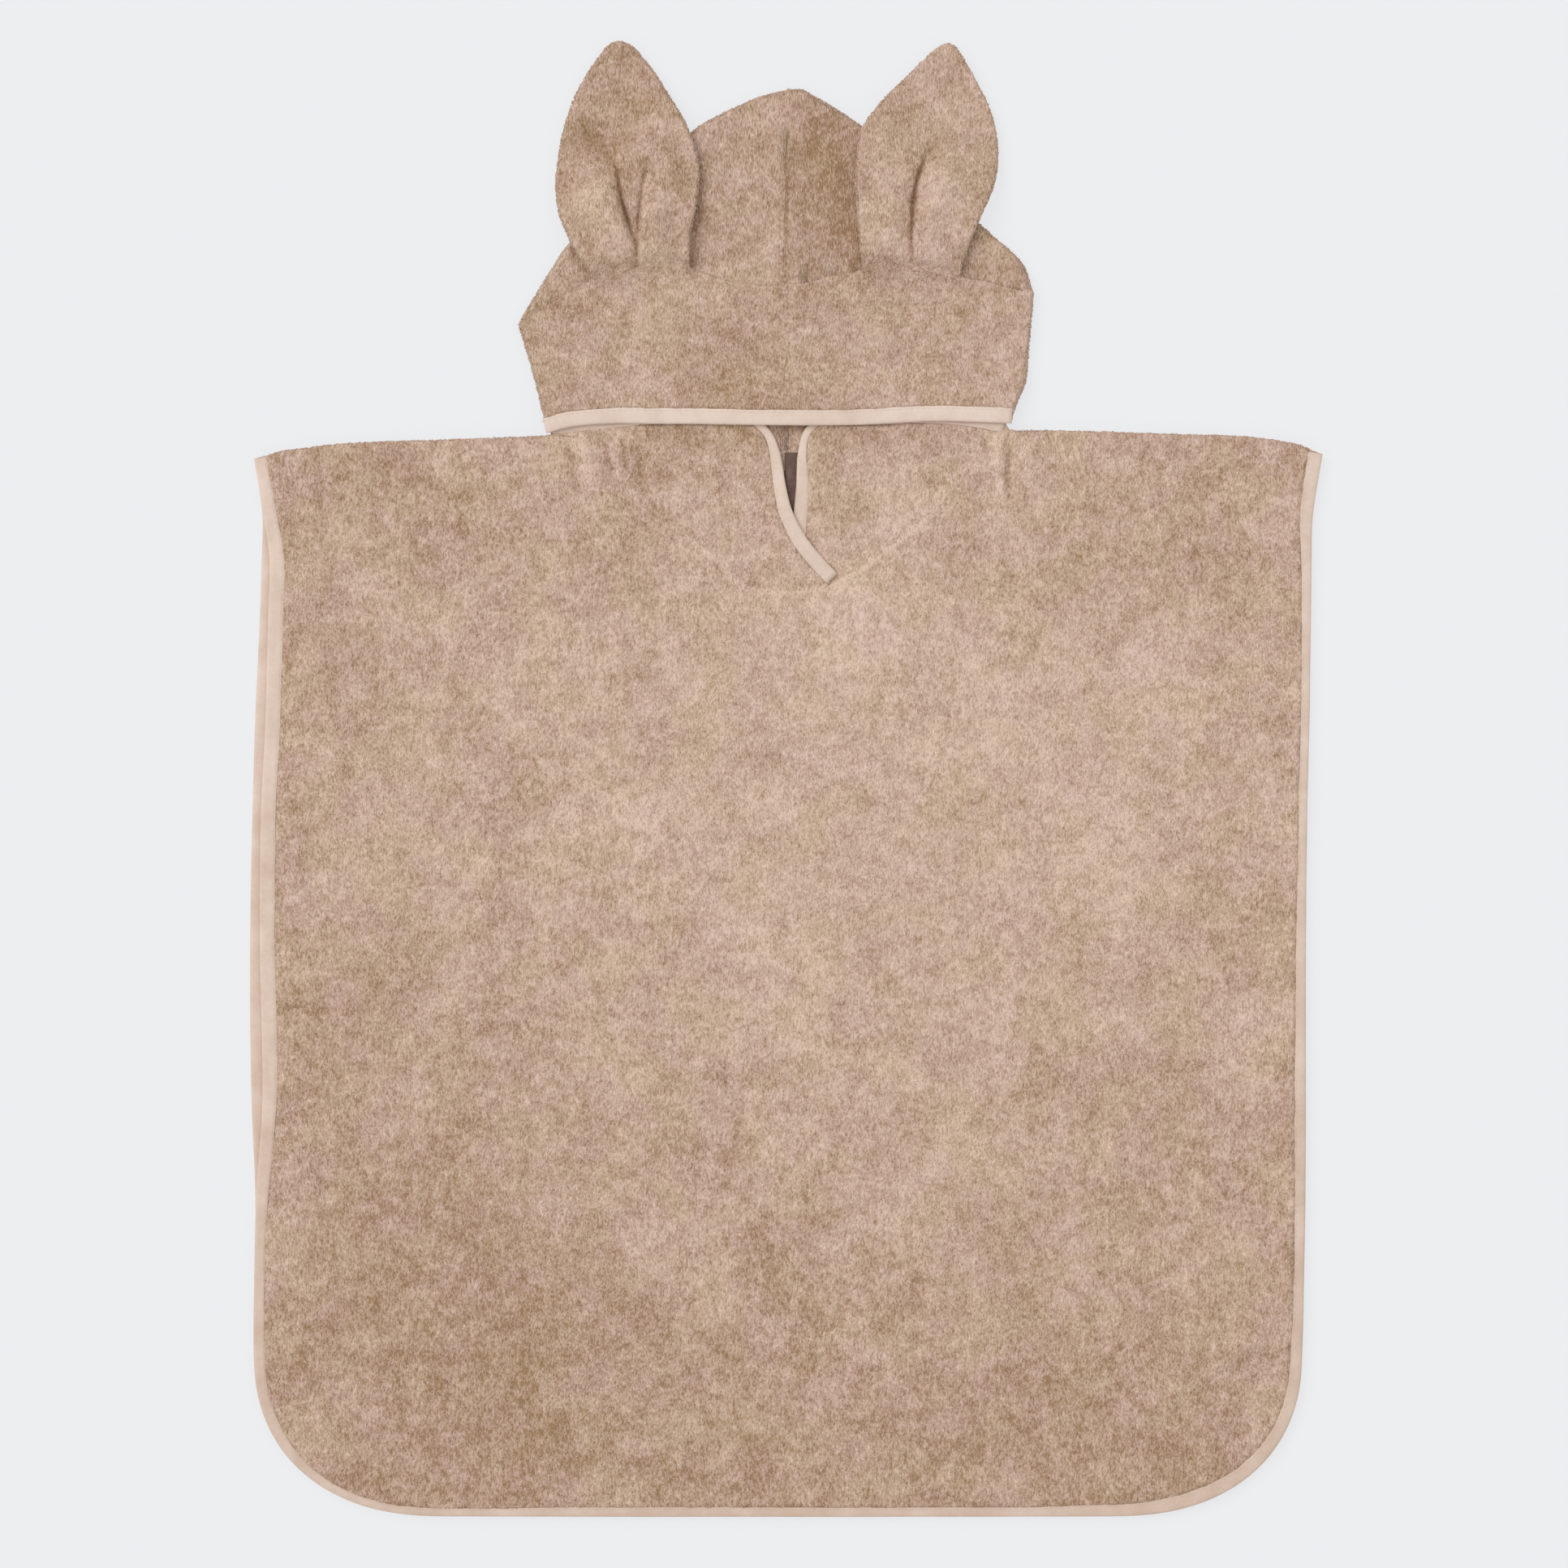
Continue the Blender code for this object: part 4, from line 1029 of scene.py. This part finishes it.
# Spots of painted light and painted shade on the hood panels: shade beside the ears' feet and right of the
# middle seam, light over small hollows.
CROWN_SPOTS = (
    Spot(4, 372, 7, 0.10),
    Spot(-9, 378, 6, 0.10),
    Spot(10.5, 289, 3, 0.28),
    Spot(3, 345, 7, 0.12),
    Spot(2, 312, 8, 0.18),
    Spot(-50, 320, 8, -0.26),
    Spot(-32, 308, 8, -0.14),
    Spot(-48, 350, 9, -0.08),
    Spot(14, 368, 9, -0.22),
    Spot(26, 374, 10, -0.10),
    Spot(2, 195, 8, 0.25),
    Spot(22, 350, 11, -0.13),
    Spot(5, 349, 6, -0.08),
    Spot(38, 330, 8, 0.06),
    Spot(116, 300, 12, 0.08),
    Spot(-120, 301, 3.5, -0.34),
    Spot(-115, 294, 3.5, -0.34),
    Spot(-111, 288, 3, -0.30),
)
CROWN_LEVEL = 3.0 * MM
SEAM_X = 0.4 * MM
SEAM_KEPT = 2.0 * MM  # how near its seams a panel isn't softened
SEAM_FADE = 4.0 * MM  # and over how much more the softening sets in
OUTLINE_SOFTNESS = 0.7  # share of the softening that moves it sideways
LAP_REACH = 4.0 * MM  # how far from a seam the edge is moved sideways
SINK_REACH = 3.0 * MM  # and down
CROWN_TUCK = 2.0 * MM  # how far the crown's edge goes in under the band
CROWN_SINK = 1.2 * MM  # and down inside that seam
EDGE_SINK = 0.5 * MM  # how far an edge goes under the one that laps over it
PULL_REACH = 5.0 * MM
HOOD_COMBED = 1.6
SEAM_TURN = math.radians(50)
WALL_FILL = 0.85  # how much of its width the cut of a hood panel has on average


def wall_tree():
    """Divides a wall's faces into a fine net."""
    tree, given = new_tree("cloth_wall")
    fine = Wire(tree).make("GeometryNodeSubdivideMesh", None, {"Mesh": given["Geometry"], "Level": 3})
    close_tree(tree, fine, given["Material"])
    return tree


WALL = wall_tree()


def hood_panel(name, node, material, seam_shift):
    """One half of the hood, as a folded wall with pile.

    seam_shift moves its edge at the middle seam sideways, so that the two edges overlap there.
    """
    coarse = bpy.data.meshes.new(name)
    shell = shell_of(node)
    shell.to_mesh(coarse)
    shell.free()
    piece = put_in_scene(name, coarse)
    run_tree(piece, WALL, {"Material": material})
    mesh = piece.data
    points = np.array([v.co for v in mesh.vertices])
    links = np.array([edge.vertices for edge in mesh.edges])
    band_away, _ = nearest_ways(seam_tree(["hood_band"]), points[:, :2])

    def seam_away():
        return np.abs(points[:, 0] - SEAM_X)

    smooth = np.column_stack([softened(points[:, axis], links, 5) for axis in range(3)])
    free = np.clip((np.minimum(seam_away(), band_away) - SEAM_KEPT) / SEAM_FADE, 0, 1)
    points[:, :2] += (smooth - points)[:, :2] * free[:, None] * OUTLINE_SOFTNESS
    points[:, 2] += (smooth - points)[:, 2] * free
    points[:, 0] += seam_shift * (1 - free) * (seam_away() < LAP_REACH)
    above_band = (points[:, 2] > CROWN_LEVEL) & (band_away < LAP_REACH)
    points[:, 1] -= CROWN_TUCK * above_band * (1 - band_away / LAP_REACH)
    points[:, 2] -= CROWN_SINK * above_band * np.clip(1 - band_away / SINK_REACH, 0, 1)
    lapped = (points[:, 2] > CROWN_LEVEL) & (seam_away() < SINK_REACH) & (seam_shift > 0)
    points[:, 2] -= EDGE_SINK * lapped * (1 - seam_away() / SINK_REACH)
    for pull in CORNER_PULLS:
        away = np.linalg.norm(points[:, :2] - np.array((pull.x, pull.y)) * MM, axis=1)
        share = np.exp(-((away / PULL_REACH) ** 2))
        points[:, :2] += np.array((pull.by_x, pull.by_y)) * MM * share[:, None]
    crown = points[:, 2] > CROWN_LEVEL
    height, relief = fold_heights(points[:, :2], CROWN_FOLDS)
    points[crown, 2] += height[crown]
    mesh.vertices.foreach_set("co", points.astype(np.float32).ravel())
    set_attribute(mesh, "relief", np.where(crown, relief, 0.0))
    set_attribute(mesh, "free", ((free > 0) & (band_away > FREE_REACH)).astype(float))
    set_attribute(mesh, "painted_shading", painted_shading_at(points[:, :2], CROWN_SPOTS, CROWN_FOLDS))
    mesh.update()
    tufts = tuft_edges(f"{name}_tufts", mesh)
    raise_pile(piece, material, crisp=SEAM_TURN)
    keep_as(piece, node)
    return piece, tufts


def wall_flat(node):
    """The width, length and area of the cut that a folded wall is made of."""
    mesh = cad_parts[node].data
    surface = sum(face.area for face in mesh.polygons) / 2
    low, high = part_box(node)
    width = high.x - low.x
    return (width, surface / width / WALL_FILL), surface


# The left half's finish is painted lighter than the right's: painted light on the side of the crown towards
# the key light, painted shade on the other.
for side, tone, shift in (("left", 0.43, 1.4 * MM), ("right", 0.34, -0.9 * MM)):
    node = f"hood_{side}"
    panel, tufts = hood_panel(f"{node}_panel", node, terry_finish(f"terry_{node}", tone, HOOD_COMBED), shift)
    flat, area = wall_flat(node)

# Throat ------------------------------------------
# The two ends of the strip that frames the face, sewn into the neckline. They meet below the chin in
# a slit, where the left end laps over the right one.

THROAT_FOLDS = (
    *NECK_FOLDS,
    Fold(3.6, 0.8, (-74, 200), (-58, 160)),
    Fold(3.2, -0.7, (-62, 204), (-48, 170)),
    Fold(4.0, 0.6, (62, 196), (70, 150)),
)
# Spots of painted shade under the band's lower edge, and of painted light lower down the throat.
THROAT_SPOTS = (
    Spot(-60, 200, 26, -0.16),
    Spot(-25, 198, 14, -0.14),
    Spot(40, 199, 20, -0.20),
    Spot(80, 202, 20, -0.14),
    Spot(58, 150, 22, 0.10),
    Spot(-58, 140, 20, 0.06),
)
for side, tone in (("right", 0.60), ("left", 0.53)):
    node = f"throat_{side}"
    lay_cloth(
        f"{node}_cloth", node, terry_finish(f"terry_{node}", tone),
        1.4 * MM, 5.0 * MM, taped=(f"binding_{node}",), sewn_to=("body_front",), folds=THROAT_FOLDS,
        spots=THROAT_SPOTS, ease=4,
    )
    seed = 3 if side == "left" else 4
    bind_edge(f"tape_{node}", f"binding_{node}", side_tape_finish, thread_finish, seed)

# Band and its tape -------------------------------
# The part of the face strip that crosses the forehead. It is sewn to the crown and ears along its top
# edge, bound along its lower one, and turned under at the hood's two sides.

BAND_FOLDS = (
    Fold(12.0, 0.7, (-70, 280), (-60, 225)),
    Fold(3.2, -0.7, (40, 270), (130, 268)),
    Fold(5.0, 0.6, (60, 262), (128, 258)),
    Fold(9.0, 0.6, (-120, 262), (-104, 226)),
    Fold(12.0, 0.5, (-20, 274), (10, 240)),
    Fold(9.0, -0.5, (90, 240), (100, 215)),
)
# Spots of painted light and painted shade on the band.
BAND_SPOTS = (
    Spot(-137, 240, 20, 0.12),
    Spot(-70, 222, 22, 0.08),
    Spot(-28, 262, 16, -0.07),
    Spot(5, 245, 18, 0.06),
    Spot(62, 225, 26, 0.08),
    Spot(130, 235, 16, 0.10),
)
# The band's finish has a painted pool of light towards its right end.
band_finish = terry_finish("terry_band", 0.42, 1.2, 0.09, (0.13, 0.24, 0), 0.14)
lay_cloth(
    "face_band", "hood_band", band_finish,
    1.4 * MM, 4.0 * MM, taped=("binding_face",),
    sewn_to=("hood_left", "hood_right", "ear_left_front", "ear_right_front"), folds=BAND_FOLDS,
    spots=BAND_SPOTS, ease=4,
)
# The face tape is painted lighter than the side tapes, as painted light about the middle.
face_tape_finish = tape_finish("tape_face_opening", 0.85)
bind_edge("tape_face", "binding_face", face_tape_finish, thread_finish, 5)

# Ears --------------------------------------------
# Each ear is two towelling cuts sewn together and turned out. Its base is pleated and caught in the
# seam between the crown and the band, and its tip lies on the surface past the crown.

# The tones of the two finest creases paint shade along them.
EAR_FOLDS = (
    Fold(1.3, -0.85, (-97.5, 350), (-94.5, 332), (-89.5, 316), (-85.6, 304), (-85.2, 288), tone=-0.06),
    Fold(3.4, -1.1, (-103, 361), (-97, 347), (-93, 328), (-87, 311)),
    Fold(1.3, -0.75, (-78.5, 354), (-82.2, 339), (-84.3, 323), (-85.4, 303)),
    Fold(3.2, -0.6, (-79, 352), (-82.5, 336), (-84.5, 318)),
    Fold(5.0, -0.7, (-91, 352), (-88, 332), (-85, 312)),
    Fold(5.5, 1.4, (-110, 342), (-103, 318), (-95, 298)),
    Fold(5.5, 1.4, (-68, 350), (-72, 325), (-75, 298)),
    Fold(5.5, -1.6, (-117, 367), (-108, 367), (-100, 360)),
    Fold(9.0, 0.7, (-103, 398), (-94, 374)),
    Fold(1.4, -1.05, (80, 357), (75, 343), (72.2, 328), (71.4, 312), (71.2, 288), tone=-0.08),
    Fold(3.6, -1.2, (85, 365), (78, 350), (73, 333), (71.5, 312)),
    Fold(6.0, 1.6, (90, 350), (85, 325), (80, 300)),
    Fold(6.0, 1.2, (58, 348), (59, 320), (61, 298)),
    Fold(6.0, 0.5, (98, 356), (93, 330), (86, 304)),
    Fold(9.0, 0.7, (88, 400), (84, 368)),
)
# Spots of painted light on the ears' lobes and bases, and of painted shade in their hollows.
EAR_SPOTS = (
    Spot(-96, 392, 16, 0.12),
    Spot(-103, 361, 8, -0.16),
    Spot(-113, 367, 9, -0.12),
    Spot(-94, 385, 9, -0.08),
    Spot(-92, 345, 6, -0.08),
    Spot(-88, 335, 6, -0.08),
    Spot(-68, 370, 10, 0.08),
    Spot(-108, 330, 13, 0.20),
    Spot(-98, 303, 12, 0.20),
    Spot(-72, 325, 12, 0.14),
    Spot(-72, 297, 10, 0.16),
    Spot(62, 345, 12, 0.08),
    Spot(60, 310, 12, 0.18),
    Spot(88, 330, 12, 0.16),
    Spot(82, 302, 12, 0.18),
    Spot(100, 380, 11, 0.10),
    Spot(80, 362, 8, -0.12),
    Spot(106, 350, 11, 0.06),
)
for side, tone in (("left", 0.40), ("right", 0.46)):
    ear_finish = terry_finish(f"terry_ear_{side}", tone, HOOD_COMBED)
    for layer, rests_on in (("back", f"hood_{side}_panel"), ("front", f"ear_{side}_back_cloth")):
        node = f"ear_{side}_{layer}"
        grain, folds = (0.9 * MM, EAR_FOLDS) if layer == "front" else (2.5 * MM, ())
        lay_cloth(
            f"{node}_cloth", node, ear_finish, grain, 4.0 * MM,
            sewn_to=("hood_band",), folds=folds, spots=EAR_SPOTS, ease=3,
        )

# Surface, light and camera -----------------------
# A plain pale paper floor, which glows a little so that the shadows on it stay faint, under even white
# studio light from all round and a soft key light, all seen from straight above.

FLOOR_COLOUR = (0.16, 0.162, 0.165, 1)
FLOOR_GLOW = (0.691, 0.698, 0.714, 1)
FLOOR_LEVEL = -0.2 * MM
FLOOR_REACH = 6.0
SKY_STRENGTH = 0.72
KEY_STRENGTH = 1.12
KEY_SPREAD = math.radians(40)
KEY_WAY = Vector((0.62, -0.45, -0.75))
VIEW_CENTRE = (-0.00116, -0.00302)
VIEW_WIDTH = 0.8984
CAMERA_HEIGHT = 3.0
SENSOR = 36.0

floor_mesh = bpy.data.meshes.new("floor")
corners = [(x * FLOOR_REACH, y * FLOOR_REACH, FLOOR_LEVEL) for x, y in ((-1, -1), (1, -1), (1, 1), (-1, 1))]
floor_mesh.from_pydata(corners, [], [(0, 1, 2, 3)])
floor = put_in_scene("floor", floor_mesh)
floor_finish, *_ = new_finish("floor_paper", {
    "Base Color": FLOOR_COLOUR, "Roughness": 1.0, "Specular IOR Level": 0.0,
    "Emission Color": FLOOR_GLOW, "Emission Strength": 1.0,
})
floor_mesh.materials.append(floor_finish)

world = bpy.data.worlds.new("studio")
bpy.context.scene.world = world
world.use_nodes = True
background = world.node_tree.nodes["Background"].inputs
background["Color"].default_value = (1.0, 1.0, 1.0, 1)
background["Strength"].default_value = SKY_STRENGTH

key = bpy.data.lights.new("soft_key", "SUN")
key.angle = KEY_SPREAD
key.energy = KEY_STRENGTH
key_light = put_in_scene("soft_key", key)
key_light.rotation_mode = "QUATERNION"
key_light.rotation_quaternion = KEY_WAY.to_track_quat("-Z", "Y")

camera_data = bpy.data.cameras.new("camera")
camera_data.sensor_width = SENSOR
camera_data.lens = SENSOR * CAMERA_HEIGHT / VIEW_WIDTH
camera = put_in_scene("camera", camera_data)
camera.location = (*VIEW_CENTRE, CAMERA_HEIGHT)
bpy.context.scene.camera = camera
bpy.context.scene.view_settings.view_transform = "Standard"

bpy.context.view_layer.update()
